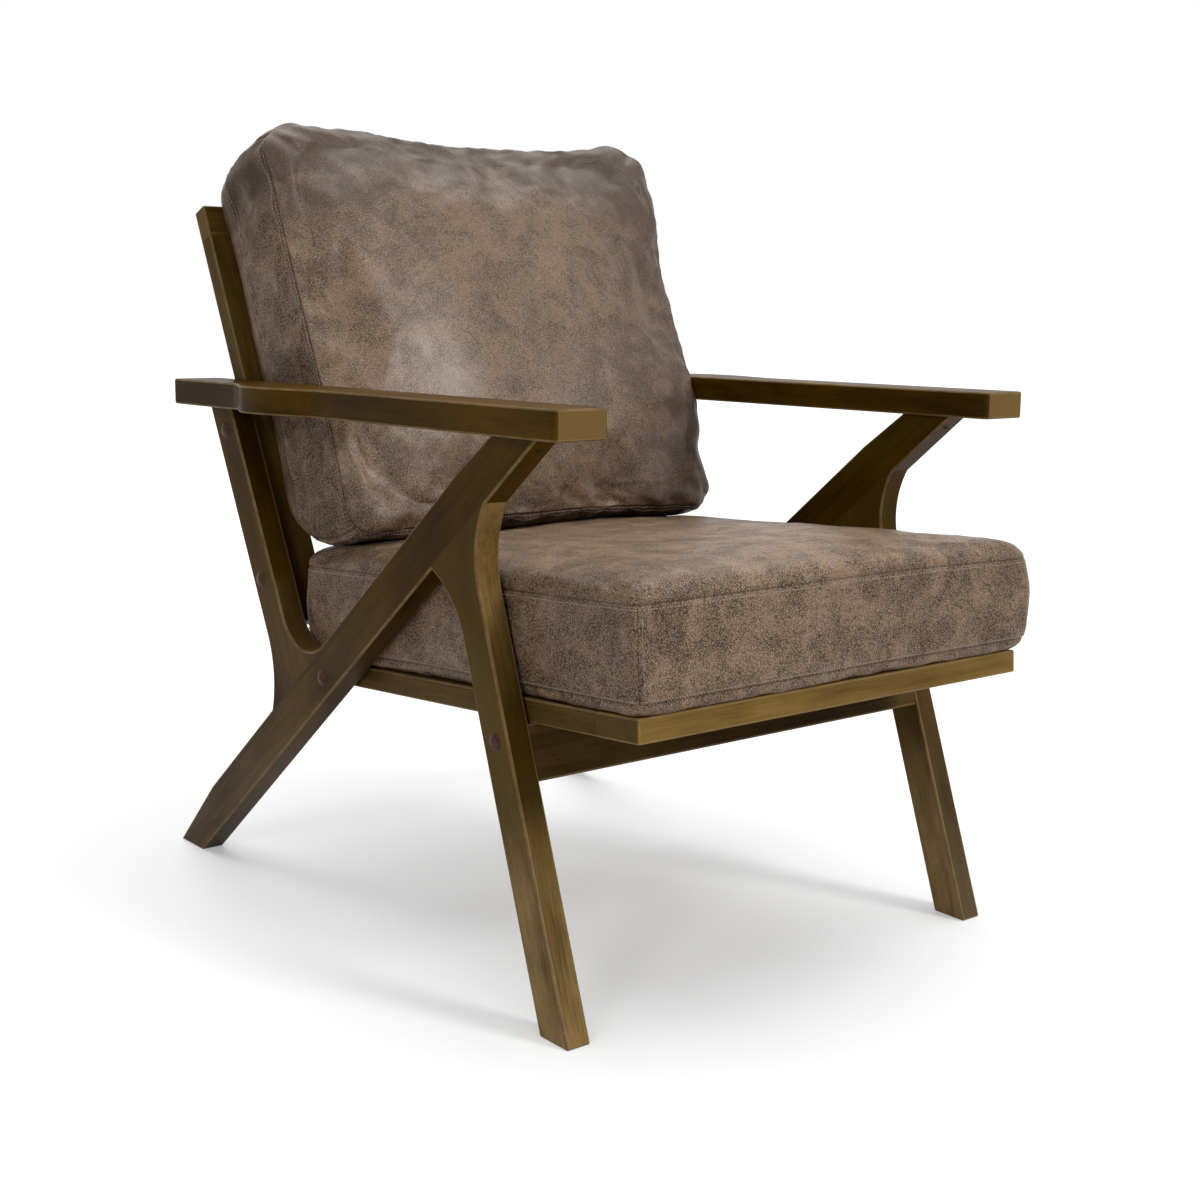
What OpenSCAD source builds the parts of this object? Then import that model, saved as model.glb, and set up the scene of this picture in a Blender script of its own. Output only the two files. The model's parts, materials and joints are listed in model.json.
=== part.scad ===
// Accent chair with sculpted X-shaped side frames, flat armrests and two loose box cushions.
// Millimetres, +Z up, front towards -Y, origin on the floor at the middle of the footprint.

/* [Widths] */
// Width over the seat frame and over the back frame
inner_w = 570; // [500:5:700]
// Gap between a side frame and the seat frame, filled by the spacers
side_gap = 5; // [3:0.5:10]
// Thickness of the side frame boards
board_t = 30; // [26:1:38]

/* [Diagonal strut] */
// Place of the strut's front corner on the floor, behind the middle
strut_foot_y = 375; // [350:5:400]
// Rise of the strut above the floor, in degrees
strut_rise = 41.1; // [39:0.1:43]
// Depth of the strut across its length
strut_d = 50.7; // [46:0.1:58]
// Depth of the strut where it meets the armrest
strut_top_d = 46; // [40:0.5:50]
// Distance along the strut at which it starts to narrow towards the armrest
strut_taper_at = 780; // [740:5:820]
// Length of the heel on the floor
heel_len = 57; // [50:1:66]
// Distance along the strut at which the heel starts
heel_at = 83; // [70:1:100]

/* [Front leg] */
// Place of the leg's front corner on the floor, ahead of the middle
leg_foot_y = 380; // [360:5:400]
// Lean of the front leg from upright, in degrees
leg_lean = 20.2; // [18:0.1:22]
// Depth of the front leg across its length
leg_d = 42.2; // [38:0.1:48]
// Reach of the front flare along the strut, from the leg's own edge to the knee
knee_reach = 41; // [34:1:48]
// Reach of the rear flare along the strut
crotch_reach = 36; // [30:1:44]
// Radius of both flares of the front leg
leg_flare_r = 110; // [90:5:140]

/* [Rear upright] */
// Place of the upright's centre line at floor level, behind the middle
upright_foot_y = 16.3; // [0:0.1:30]
// Lean of the upright from vertical, in degrees
upright_lean = 27.25; // [26:0.05:28.5]
// Depth of the upright across its length
upright_d = 44.3; // [40:0.1:50]
// Radius of the inside blend between upright and strut
upright_front_r = 58; // [45:1:70]
// Radius of the flare behind the upright
upright_rear_r = 130; // [100:5:160]
// Reach of the rear flare along the strut
upright_rear_reach = 33.6; // [26:0.2:42]

/* [Armrest] */
// Height of the armrest's underside above the middle of the footprint
arm_under_z = 589.3; // [575:0.1:605]
// Fall of the armrest towards the back, in degrees
arm_tilt = 1.7; // [0:0.1:3]
// Thickness of the armrest
arm_t = 30.5; // [26:0.5:38]
// Width of the armrest
arm_w = 62; // [56:1:76]
// How far the armrest widens inwards towards its front end
arm_front_in = 4; // [0:0.5:8]
// Place where that widening starts
arm_widen_y = 200; // [180:5:220]
// Distance from the middle to the front end of the armrest
arm_front = 371; // [350:1:400]
// Distance from the middle to the rear end of the armrest
arm_rear = 383; // [365:1:400]
// How far the elbow swells outwards ahead of the upright
elbow_out = 24; // [10:1:34]
// Place of the fullest point of the elbow
elbow_y = 150; // [120:5:180]
// Length over which the elbow swells, going back
elbow_rise_len = 130; // [90:5:170]
// Length over which the elbow steps in to the tail
elbow_fall_len = 84; // [60:2:110]
// Corner radius of the armrest's ends, in plan
arm_corner_r = 7; // [4:1:14]

/* [Seat frame] */
// Place of the seat frame's top front edge, ahead of the middle
seat_front_y = 429; // [415:1:440]
// Height of the seat frame's top front edge
seat_front_z = 343; // [330:1:356]
// Fall of the seat frame towards the back, in degrees
seat_tilt = 4.87; // [4:0.01:6]
// Length of side rail between the seat bolt and the rear rail
seat_behind_bolt = 55; // [30:1:70]
// Thickness of the seat frame's rails
seat_t = 25.5; // [20:0.5:30]
// Depth of the front rail
front_rail_w = 62; // [50:1:80]
// Depth of the rear rail
rear_rail_w = 55; // [45:1:70]
// Width of a side rail
side_rail_w = 52; // [46:1:70]
// Number of seat slats
seat_slat_count = 6; // [4:1:8]
// Width of a seat slat
seat_slat_w = 50; // [30:1:54]
// Thickness of a seat slat, and depth of its rebate
seat_slat_t = 12; // [8:1:13]
// Length of slat that rests in the rebate at each end
seat_slat_rest = 20; // [12:1:22]

/* [Front stretcher] */
// Thickness of the front stretcher, which is centred in the depth of the leg
stretcher_t = 38; // [30:1:40]
// Height of the stretcher's lower front edge above the floor
stretcher_z = 249; // [238:1:262]
// Distance of the stretcher's bolt above its lower edge, along the leg
stretcher_bolt_up = 48; // [24:1:49]
// Distance of the seat bolt above the strut's lower edge, across the strut
seat_bolt_depth = 21.8; // [14:0.1:36]

/* [Back frame] */
// Place of the stile's lower end, behind the middle
back_foot_y = 192; // [186:1:198]
// Height of the stile's lower end
back_foot_z = 327; // [318:1:336]
// Lean of the back frame from upright, in degrees
back_lean = 26; // [25:0.1:27]
// Length of the back frame from the stile's lower end to the top
back_len = 542; // [500:1:580]
// Width of a stile
stile_w = 40; // [38:1:50]
// Depth of a stile and of the rails between them
stile_d = 24; // [20:0.5:30]
// Height of the top rail
top_rail_h = 39; // [30:1:50]
// Height of the bottom rail
bottom_rail_h = 55; // [40:1:65]
// Distance from the stile's lower end to the bottom rail
bottom_rail_up = 12; // [8:1:18]
// Number of back slats
back_slat_count = 3; // [2:1:4]
// Height of a back slat
back_slat_h = 50; // [30:1:60]
// Thickness of a back slat
back_slat_t = 12; // [8:1:14]
// Length of a slat's tenon in the stile
tenon_len = 12; // [8:1:14]
// Distance of the lowest back slat above the stile's lower end
first_slat_up = 165; // [150:5:180]
// Spacing of the back slats
slat_pitch = 105; // [80:1:110]
// Distance of the lower back bolt above the stile's lower end
low_bolt_up = 60; // [52:1:66]
// Distance of the upper back bolt above the stile's lower end
high_bolt_up = 250; // [235:1:258]

/* [Fasteners] */
// Diameter of the side bolts
bolt_d = 6; // [5:0.5:8]
// Depth of a bolt in its insert
bolt_bite = 14; // [10:1:15]
// Diameter of a bolt head
bolt_head_d = 11; // [10:0.5:12]
// Height of a bolt head
bolt_head_h = 4; // [3:0.5:5]
// Diameter of the domed bolt caps
cap_d = 19.2; // [16:0.1:22]
// Height of a cap's dome over the side frame
cap_h = 3.6; // [2:0.1:5]
// Diameter of the counterbore that holds a bolt head and a cap's stem
counterbore_d = 13; // [12.5:0.1:14.5]
// Depth of the counterbore
counterbore_h = 9; // [8:0.5:11]
// Diameter of a threaded insert
insert_d = 10; // [9.5:0.1:11]
// Length of a threaded insert
insert_len = 15; // [12:0.5:17]
// Outer diameter of a spacer
spacer_d = 18; // [14:0.5:20]
// Diameter of the dowels in the side frames
side_dowel_d = 10; // [8:0.5:12]
// Length of the dowels in the side frames
side_dowel_len = 46; // [36:1:48]
// Length of the dowels that hold the armrests
arm_dowel_len = 34; // [30:1:36]
// Spacing of two dowels in one joint
side_dowel_gap = 30; // [26:1:32]
// Diameter of the dowels in the seat frame and the back frame
rail_dowel_d = 8; // [6:0.5:9]
// Length of the dowels in the seat frame and the back frame
rail_dowel_len = 40; // [30:1:44]
// Play of a bolt in the side frame and in the spacer
bolt_play = 0.4; // [0.2:0.1:0.8]
// Play of a dowel, a tenon or an insert in its hole
fit_play = 0.1; // [0.05:0.05:0.2]

/* [Seat cushion] */
// Gap between the seat cushion's sides and the side frames
seat_side_gap = 1; // [0.5:0.5:20]
// Gap between the seat cushion's rear side and the stiles
seat_rear_gap = 2; // [0.5:0.5:20]
// How far the seat cushion stands out over the seat frame's front edge
seat_cushion_out = 6; // [0:1:10]
// Height of the seat cushion's lower seam
seat_low_seam = 13; // [8:1:20]
// Height of the seat cushion's upper seam
seat_high_seam = 108; // [90:1:115]
// Height of the seat cushion at the edge of its top panel
seat_cushion_h = 135; // [120:1:138]
// Width over which the top panel rolls over the edge, and the bottom panel under it
seat_roll = 20; // [10:1:26]
// Crown of the seat cushion's top panel
seat_crown = 17; // [6:1:19]
// How far the seat cushion's sides are drawn in between the corners
seat_draw = 3; // [0:0.5:8]
// How far the seat cushion's sides swell between their two seams
seat_swell = 3; // [0:0.5:5]
// Corner radius of the seat cushion, in plan
seat_corner_r = 26; // [22:1:44]

/* [Back cushion] */
// Gap between the back cushion's sides and the armrests
back_side_gap = 1.5; // [1:0.5:20]
// Distance from the stile's lower end to the back cushion's upper end
back_cushion_top = 583; // [540:1:620]
// Distance of the back cushion's rear seam from its rear face
back_low_seam = 40; // [20:1:45]
// Distance of the back cushion's front seam from its rear face
back_high_seam = 146; // [110:1:150]
// Thickness of the back cushion at the edge of its front panel
back_cushion_t = 160; // [125:1:165]
// Width over which the front panel rolls over the edge, and the rear panel too
back_roll = 24; // [12:1:30]
// Crown of the back cushion's front panel
back_crown = 19; // [6:1:28]
// How far the back cushion's sides are drawn in between the corners
back_draw = 7; // [0:0.5:10]
// How far the back cushion's sides swell between their two seams
back_swell = 2.5; // [0:0.5:5]
// Corner radius of the back cushion, seen from the front
back_corner_r = 44; // [30:1:60]

/* [Cushion making] */
// Thickness of cover and wadding round the foam, at the seams
wrap_t = 20; // [16:1:26]
// Play of the foam in its cover, and of a cushion over what carries it
cushion_play = 0.3; // [0.3:0.1:0.6]

/* [Hidden] */
$fn = 48;

wood = "#5a4527";
wood_end = "#6f5a35";
hidden_wood = "#8a6d45";
dowel_wood = "#b99a68";
steel = "#8f9196";
cap_brown = "#3c2119";
leather = "#75675a";
foam_tone = "#d9d0b4";

arc_steps = 14;      // straight pieces in one flare
overcut = 1;         // how far a cut runs past the face that it opens

inner_half = inner_w / 2;
side_in = inner_half + side_gap;      // inner face of a side frame
side_out = side_in + board_t;         // outer face of a side frame
board_mid = side_in + board_t / 2;

// Side frame geometry, in the plane of the boards: [y, z]
strut_dir = [-cos(strut_rise), sin(strut_rise)];
strut_out = [sin(strut_rise), cos(strut_rise)];
strut_foot = [strut_foot_y, 0];
leg_dir = [sin(leg_lean), cos(leg_lean)];
leg_across = [cos(leg_lean), -sin(leg_lean)];
leg_front_foot = [-leg_foot_y, 0];
leg_rear_foot = [-leg_foot_y + leg_d / cos(leg_lean), 0];
upright_dir = [sin(upright_lean), cos(upright_lean)];
upright_half = upright_d / 2 / cos(upright_lean);
arm_dir = [cos(arm_tilt), -sin(arm_tilt)];
arm_up = [sin(arm_tilt), cos(arm_tilt)];
arm_origin = [0, arm_under_z];
back_up = [sin(back_lean), cos(back_lean)];
back_deep = [cos(back_lean), -sin(back_lean)];
back_foot = [back_foot_y, back_foot_z];
seat_back = [cos(seat_tilt), -sin(seat_tilt)];
seat_up = [sin(seat_tilt), cos(seat_tilt)];
seat_corner = [-seat_front_y, seat_front_z];

// Where the line through p along d meets the line through q along e
function meet(p, d, q, e) = p + d * cross(q - p, e) / cross(d, e);
function strut_point(s, out) = strut_foot + s * strut_dir + out * strut_out;
function back_point(deep, up) = back_foot + deep * back_deep + up * back_up;
function seat_point(y, z) = seat_corner + y * seat_back + z * seat_up;
function leg_point(up, across) = leg_front_foot + up * leg_dir + across * leg_across;
function reversed(v) = [for (i = [len(v) - 1:-1:0]) v[i]];

// Arc that leaves a member's edge without a kink and ends on the strut, reach away from the corner
function flare(corner, away, toward, reach, r) =
    let (
        end = reach * toward,
        side = [-away[1], away[0]] * sign(cross(away, toward)),
        rise = end * side,
        run = end * away,
        radius = max(r, 0.55 * rise),
        turn = acos((radius - rise) / radius),
        centre = corner + away * (run + radius * sin(turn)) + side * radius
    )
    [for (i = [0:arc_steps]) centre - radius * (cos(turn * i / arc_steps) * side
        + sin(turn * i / arc_steps) * away)];

knee_corner = meet(leg_front_foot, leg_dir, strut_foot, strut_dir);
crotch_corner = meet(leg_rear_foot, leg_dir, strut_foot, strut_dir);
upright_front_foot = [upright_foot_y - upright_half, 0];
upright_rear_foot = [upright_foot_y + upright_half, 0];
upright_front_corner = meet(upright_front_foot, upright_dir, strut_point(0, strut_d), strut_dir);
upright_rear_corner = meet(upright_rear_foot, upright_dir, strut_point(0, strut_d), strut_dir);
blend_half_angle = acos(upright_dir * strut_dir) / 2;
upright_front_reach = upright_front_r / tan(blend_half_angle);

leg_shape = concat(
    [leg_front_foot, leg_rear_foot],
    flare(crotch_corner, -leg_dir, -strut_dir, crotch_reach, leg_flare_r),
    reversed(flare(knee_corner, -leg_dir, strut_dir, knee_reach, leg_flare_r))
);
upright_shape = concat(
    flare(upright_front_corner, upright_dir, strut_dir, upright_front_reach, upright_front_r),
    reversed(flare(upright_rear_corner, upright_dir, -strut_dir, upright_rear_reach, upright_rear_r)),
    [meet(upright_rear_foot, upright_dir, arm_origin, arm_dir)],
    [meet(upright_front_foot, upright_dir, arm_origin, arm_dir)]
);
strut_top_rear = meet(strut_point(0, strut_top_d), strut_dir, arm_origin, arm_dir);
strut_top_front = meet(strut_foot, strut_dir, arm_origin, arm_dir);
strut_shape = [
    strut_foot,
    strut_foot + [heel_len, 0],
    strut_point(heel_at, strut_d),
    strut_point(strut_taper_at, strut_d),
    strut_top_rear,
    strut_top_front
];

// Stretcher between the front legs, closed above by the underside of the seat frame
stretcher_in = (leg_d - stretcher_t) / 2;
stretcher_up = stretcher_z / cos(leg_lean);
seat_under = seat_point(0, -seat_t);
stretcher_shape = [
    leg_point(stretcher_up, stretcher_in),
    leg_point(stretcher_up, leg_d - stretcher_in),
    meet(leg_point(0, leg_d - stretcher_in), leg_dir, seat_under, seat_back),
    meet(leg_point(0, stretcher_in), leg_dir, seat_under, seat_back)
];

// Bolt places in the plane of the boards
back_bolts = [back_point(0, low_bolt_up), back_point(0, high_bolt_up)];
seat_bolt = meet(seat_point(0, -seat_t / 2), seat_back, strut_point(0, seat_bolt_depth), strut_dir);
seat_len = (seat_bolt - seat_corner) * seat_back + seat_behind_bolt + rear_rail_w;
stretcher_bolt = leg_point(stretcher_up + stretcher_bolt_up, leg_d / 2);
spaced_bolts = concat(back_bolts, [seat_bolt]);
all_bolts = concat(spaced_bolts, [stretcher_bolt]);

// Dowels of the side frame: [middle, direction, length]
leg_joint_mid = (knee_corner + crotch_corner) / 2;
upright_joint_mid = (upright_front_corner + upright_rear_corner) / 2;
strut_top_mid = (strut_top_front + strut_top_rear) / 2;
upright_top_mid = meet([upright_foot_y, 0], upright_dir, arm_origin, arm_dir);
arm_dowel_down = (arm_dowel_len / 2 - arm_t * 0.6) * arm_up;
upright_dowel_gap = side_dowel_gap * 0.7;
side_dowels = [
    for (k = [-0.5, 0.5])
        each [
            [leg_joint_mid + k * side_dowel_gap * strut_dir, strut_out, side_dowel_len],
            [upright_joint_mid + k * side_dowel_gap * strut_dir, strut_out, side_dowel_len],
            [strut_top_mid + k * side_dowel_gap * arm_dir - arm_dowel_down, arm_up, arm_dowel_len],
            [upright_top_mid + k * upright_dowel_gap * arm_dir - arm_dowel_down, arm_up, arm_dowel_len]
        ]
];

// Armrest in plan: distance out from the inner frame, distance back
function ease(t) = (1 - cos(180 * t)) / 2;
elbow_rise = [for (i = [0:arc_steps]) [arm_w + elbow_out * ease(i / arc_steps),
    elbow_y - elbow_rise_len * (1 - i / arc_steps)]];
elbow_fall = [for (i = [0:arc_steps]) [arm_w + elbow_out * ease(1 - i / arc_steps),
    elbow_y + elbow_fall_len * (0.15 + 0.85 * i / arc_steps)]];
function corner_arc(cx, cy, r, from) = [for (i = [0:4]) [cx + r * cos(from + 22.5 * i), cy + r * sin(from + 22.5 * i)]];
arm_shape = concat(
    corner_arc(arm_corner_r - arm_front_in, -arm_front + arm_corner_r, arm_corner_r, 180),
    corner_arc(arm_w - arm_corner_r, -arm_front + arm_corner_r, arm_corner_r, 270),
    elbow_rise,
    elbow_fall,
    corner_arc(arm_w - arm_corner_r, arm_rear - arm_corner_r, arm_corner_r, 0),
    corner_arc(arm_corner_r, arm_rear - arm_corner_r, arm_corner_r, 90),
    [[0, arm_widen_y]]
);

// Cushion outline with drawn-in sides, n points on each side and on each corner
corner_steps = 5;
side_steps = 7;
function plan_ring(half_x, half_y, r, draw) = [
    for (q = [0:3])
        let (
            a = q % 2 == 0 ? half_x : half_y,
            b = q % 2 == 0 ? half_y : half_x,
            turn = 90 * q,
            corner = [for (i = [0:corner_steps]) let (t = 90 * i / corner_steps)
                [a - r + r * cos(t), b - r + r * sin(t)]],
            side = [for (i = [1:side_steps]) let (t = 1 - 2 * i / (side_steps + 1))
                [(a - r) * t, b - draw * (1 - t * t)]]
        )
        for (p = concat(corner, side))
            [p[0] * cos(turn) - p[1] * sin(turn), p[0] * sin(turn) + p[1] * cos(turn)]
];
// Share of the full crown at a point of the top panel
function crown_at(p, half_x, half_y) =
    (1 - pow(min(1, abs(p[0]) / half_x), 2.6)) * (1 - pow(min(1, abs(p[1]) / half_y), 2.6));

// The cushions fill the room between the side frames, the stiles and the armrests
stile_corner = back_point(-stile_d / 2, 0);
seat_cushion_w = 2 * (side_in - seat_side_gap - seat_swell);
seat_cushion_len = (stile_corner - seat_corner) * seat_back + seat_cushion_out - seat_rear_gap - seat_swell;
back_cushion_w = 2 * (inner_half - back_side_gap - back_swell);

// The back cushion's lower end lies on the seat cushion: the height of the seat's crown there
seat_cushion_mid = seat_cushion_len / 2 - seat_cushion_out;
back_front_foot = meet(back_point(-stile_d / 2 - back_cushion_t, 0), back_up,
    seat_point(0, seat_cushion_h), seat_back);
back_front_on_seat = (back_front_foot - seat_corner) * seat_back - seat_cushion_mid;
settle_angle = back_lean - seat_tilt;
rest_h = seat_cushion_h + cushion_play + back_swell / cos(settle_angle)
    + seat_crown * crown_at([0, back_front_on_seat], seat_cushion_w / 2, seat_cushion_len / 2);
back_rear_foot = back_point(-stile_d / 2 - cushion_play, 0);
back_cushion_low = (meet(back_rear_foot, back_up, seat_point(0, rest_h), seat_back) - back_rear_foot) * back_up;
back_cushion_len = back_cushion_top - back_cushion_low;

// Crowned box cushion lying on z = 0, with two seams round its swelling sides.
// With settle, the end at -Y slopes outwards by that angle as it rises.
module cushion_form(w, l, corner_r, seams, h, roll, crown, draw, swell, settle = 0) {
    half_x = w / 2;
    half_y = l / 2;
    steps = [0, 30, 60, 90];
    low = [for (a = steps) [roll * (1 - sin(a)), seams[0] * (1 - cos(a))]];
    side = [for (k = [0.3, 0.7]) [-swell, seams[0] + (seams[1] - seams[0]) * k]];
    high = [for (a = steps) [roll * (1 - cos(a)), seams[1] + (h - seams[1]) * sin(a)]];
    rings = [for (v = concat(low, side, high)) [for (p = plan_ring(half_x - v[0], half_y - v[0], corner_r, draw))
        [p[0], p[1], v[1]]]];
    edge = plan_ring(half_x - roll, half_y - roll, corner_r, draw);
    panel = [for (f = [0.86, 0.68, 0.46, 0.22]) [for (p = edge)
        [p[0] * f, p[1] * f, h + crown * crown_at(p * f, half_x - roll, half_y - roll)]]];
    all_rings = concat(rings, panel);
    n = len(edge);
    last = len(all_rings) - 1;
    flat_points = concat([for (ring = all_rings) each ring], [[0, 0, h + crown]]);
    points = [for (p = flat_points) [p[0], p[1] + tan(settle) * p[2] * (p[1] - half_y) / l, p[2]]];
    walls = [for (k = [0:last - 1], i = [0:n - 1]) let (j = (i + 1) % n)
        each [[k * n + i, (k + 1) * n + i, (k + 1) * n + j], [k * n + i, (k + 1) * n + j, k * n + j]]];
    floor_face = [for (i = [0:n - 1]) i];
    cap = [for (i = [0:n - 1]) [last * n + i, len(points) - 1, last * n + (i + 1) % n]];
    polyhedron(points, concat([floor_face], walls, cap), convexity = 4);
}

// Foam block inside a cushion, or with play the hollow that holds it
module foam_block(w, l, h, corner_r, play) {
    inset = wrap_t - play;
    translate([0, 0, inset])
        linear_extrude(h - 2 * inset)
            polygon(plan_ring(w / 2 - inset - 2, l / 2 - inset - 2, corner_r, 0));
}

module mirrored(side) {
    mirror([side < 0 ? 1 : 0, 0, 0]) children();
}

module both_sides() {
    for (side = [-1, 1])
        mirrored(side) children();
}

// Board of the side frame from its outline in [y, z]
module side_board(shape) {
    translate([side_in, 0, 0])
        rotate([90, 0, 90])
            linear_extrude(board_t)
                polygon(shape);
}

module across_board(shape, half) {
    translate([-half, 0, 0])
        rotate([90, 0, 90])
            linear_extrude(2 * half)
                polygon(shape);
}

module seat_place() {
    translate([0, -seat_front_y, seat_front_z])
        rotate([-seat_tilt, 0, 0])
            children();
}

module back_place() {
    translate([0, back_foot_y, back_foot_z])
        rotate([-back_lean, 0, 0])
            children();
}

// Bar along X at a place [y, z]
module crossbar(place, d, from, to) {
    translate([from, place[0], place[1]])
        rotate([0, 90, 0])
            cylinder(d = d, h = to - from);
}

module side_dowel_row(play) {
    for (v = side_dowels)
        translate([board_mid, v[0][0], v[0][1]])
            rotate([-atan2(v[1][0], v[1][1]), 0, 0])
                cylinder(d = side_dowel_d + 2 * play, h = v[2] + 2 * play, center = true);
}

module bolt_holes() {
    for (place = all_bolts) {
        crossbar(place, bolt_d + 2 * bolt_play, side_in - overcut, side_out + overcut);
        crossbar(place, counterbore_d, side_out - counterbore_h, side_out + overcut);
    }
}

module insert_holes(places, face) {
    for (place = places)
        crossbar(place, insert_d + 2 * fit_play, face - insert_len - overcut, face + overcut);
}

module strut() {
    color(wood)
        difference() {
            side_board(strut_shape);
            bolt_holes();
            side_dowel_row(fit_play);
        }
}

module front_leg() {
    color(wood)
        difference() {
            side_board(leg_shape);
            bolt_holes();
            side_dowel_row(fit_play);
        }
}

module rear_upright() {
    color(wood)
        difference() {
            side_board(upright_shape);
            bolt_holes();
            side_dowel_row(fit_play);
        }
}

module armrest() {
    color(wood)
        difference() {
            translate([inner_half, 0, arm_under_z])
                rotate([-arm_tilt, 0, 0])
                    linear_extrude(arm_t)
                        polygon(arm_shape);
            side_dowel_row(fit_play);
        }
}

module front_stretcher() {
    color(wood_end)
        difference() {
            across_board(stretcher_shape, side_in);
            both_sides()
                insert_holes([stretcher_bolt], side_in);
        }
}

// Dowels at one corner of the seat frame, drawn at both ends of the right side rail
module seat_dowel_row(play) {
    for (y = [front_rail_w, seat_len - rear_rail_w], x = [side_rail_w * 0.2, side_rail_w * 0.48])
        translate([inner_half - x, y, -seat_t / 2])
            rotate([90, 0, 0])
                cylinder(d = rail_dowel_d + 2 * play, h = rail_dowel_len + 2 * play, center = true);
}

module seat_front_rail() {
    color(wood_end)
        difference() {
            seat_place()
                translate([-inner_half, 0, -seat_t])
                    cube([inner_w, front_rail_w, seat_t]);
            both_sides()
                seat_place()
                    seat_dowel_row(fit_play);
        }
}

module seat_rear_rail() {
    color(wood)
        difference() {
            seat_place()
                translate([-inner_half, seat_len - rear_rail_w, -seat_t])
                    cube([inner_w, rear_rail_w, seat_t]);
            both_sides()
                seat_place()
                    seat_dowel_row(fit_play);
        }
}

module seat_side_rail() {
    color(wood)
        difference() {
            seat_place()
                difference() {
                    translate([inner_half - side_rail_w, front_rail_w, -seat_t])
                        cube([side_rail_w, seat_len - front_rail_w - rear_rail_w, seat_t]);
                    translate([inner_half - side_rail_w - overcut, front_rail_w - overcut, -seat_slat_t])
                        cube([seat_slat_rest + overcut, seat_len, seat_slat_t + overcut]);
                    seat_dowel_row(fit_play);
                }
            insert_holes([seat_bolt], inner_half);
        }
}

module seat_slats() {
    half = inner_half - side_rail_w + seat_slat_rest - fit_play;
    room = seat_len - front_rail_w - rear_rail_w;
    pitch = room / seat_slat_count;
    color(hidden_wood)
        seat_place()
            for (i = [0:seat_slat_count - 1])
                translate([-half, front_rail_w + pitch * (i + 0.5) - seat_slat_w / 2, -seat_slat_t])
                    cube([2 * half, seat_slat_w, seat_slat_t]);
}

module stile_dowel_rows(play) {
    stile_top = back_len - top_rail_h;
    for (x = [0.28, 0.72])
        translate([inner_half - stile_w * x, 0, stile_top])
            cylinder(d = rail_dowel_d + 2 * play, h = rail_dowel_len + 2 * play, center = true);
    for (z = [0.25, 0.75])
        translate([inner_half - stile_w, 0, bottom_rail_up + bottom_rail_h * z])
            rotate([0, 90, 0])
                cylinder(d = rail_dowel_d + 2 * play, h = rail_dowel_len + 2 * play, center = true);
}

// Back slats between the stiles, or with play the mortises that take their tenons
module back_slat_row(play) {
    half = inner_half - stile_w + tenon_len;
    for (i = [0:back_slat_count - 1])
        translate([-half - play, -back_slat_t / 2 - play, first_slat_up + slat_pitch * i - play])
            cube([2 * (half + play), back_slat_t + 2 * play, back_slat_h + 2 * play]);
}

module back_stile() {
    color(wood)
        difference() {
            back_place()
                difference() {
                    translate([inner_half - stile_w, -stile_d / 2, 0])
                        cube([stile_w, stile_d, back_len - top_rail_h]);
                    stile_dowel_rows(fit_play);
                    back_slat_row(fit_play);
                }
            insert_holes(back_bolts, inner_half);
        }
}

module back_top_rail() {
    color(wood)
        back_place()
            difference() {
                translate([-inner_half, -stile_d / 2, back_len - top_rail_h])
                    cube([inner_w, stile_d, top_rail_h]);
                both_sides()
                    stile_dowel_rows(fit_play);
            }
}

module back_bottom_rail() {
    half = inner_half - stile_w;
    color(hidden_wood)
        back_place()
            difference() {
                translate([-half, -stile_d / 2, bottom_rail_up])
                    cube([2 * half, stile_d, bottom_rail_h]);
                both_sides()
                    stile_dowel_rows(fit_play);
            }
}

module back_slats() {
    color(hidden_wood)
        back_place()
            back_slat_row(0);
}

// Domed cap with a stem that closes the counterbore over the bolt head
module bolt_caps() {
    stem_d = counterbore_d - 2 * fit_play;
    stem_h = counterbore_h - bolt_head_h - fit_play;
    sphere_r = (cap_h * cap_h + cap_d * cap_d / 4) / (2 * cap_h);
    color(cap_brown)
        both_sides()
            for (place = all_bolts) {
                crossbar(place, stem_d, side_out - stem_h, side_out + cap_h / 2);
                intersection() {
                    translate([side_out + cap_h - sphere_r, place[0], place[1]])
                        rotate([0, 90, 0])
                            rotate_extrude($fn = 64)
                                difference() {
                                    circle(r = sphere_r, $fn = 96);
                                    translate([-2 * sphere_r, -sphere_r])
                                        square([2 * sphere_r, 2 * sphere_r]);
                                }
                    crossbar(place, cap_d, side_out, side_out + cap_h + overcut);
                }
            }
}

module side_bolt(place, face) {
    head_at = side_out - counterbore_h;
    crossbar(place, bolt_head_d, head_at, head_at + bolt_head_h);
    crossbar(place, bolt_d, face - bolt_bite, head_at + fit_play);
}

module side_bolts() {
    color(steel)
        both_sides() {
            for (place = spaced_bolts)
                side_bolt(place, inner_half);
            side_bolt(stretcher_bolt, side_in);
        }
}

module threaded_insert(place, face) {
    difference() {
        crossbar(place, insert_d, face - insert_len, face);
        crossbar(place, bolt_d + 2 * fit_play, face - insert_len - overcut, face + overcut);
    }
}

module threaded_inserts() {
    color(steel)
        both_sides() {
            for (place = spaced_bolts)
                threaded_insert(place, inner_half);
            threaded_insert(stretcher_bolt, side_in);
        }
}

module frame_spacers() {
    color(steel)
        both_sides()
            for (place = spaced_bolts)
                difference() {
                    crossbar(place, spacer_d, inner_half, side_in);
                    crossbar(place, bolt_d + 2 * bolt_play, inner_half - overcut, side_in + overcut);
                }
}

module side_frame_dowels() {
    color(dowel_wood)
        both_sides()
            side_dowel_row(0);
}

module seat_frame_dowels() {
    color(dowel_wood)
        both_sides()
            seat_place()
                seat_dowel_row(0);
}

module back_frame_dowels() {
    color(dowel_wood)
        both_sides()
            back_place()
                stile_dowel_rows(0);
}

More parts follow.
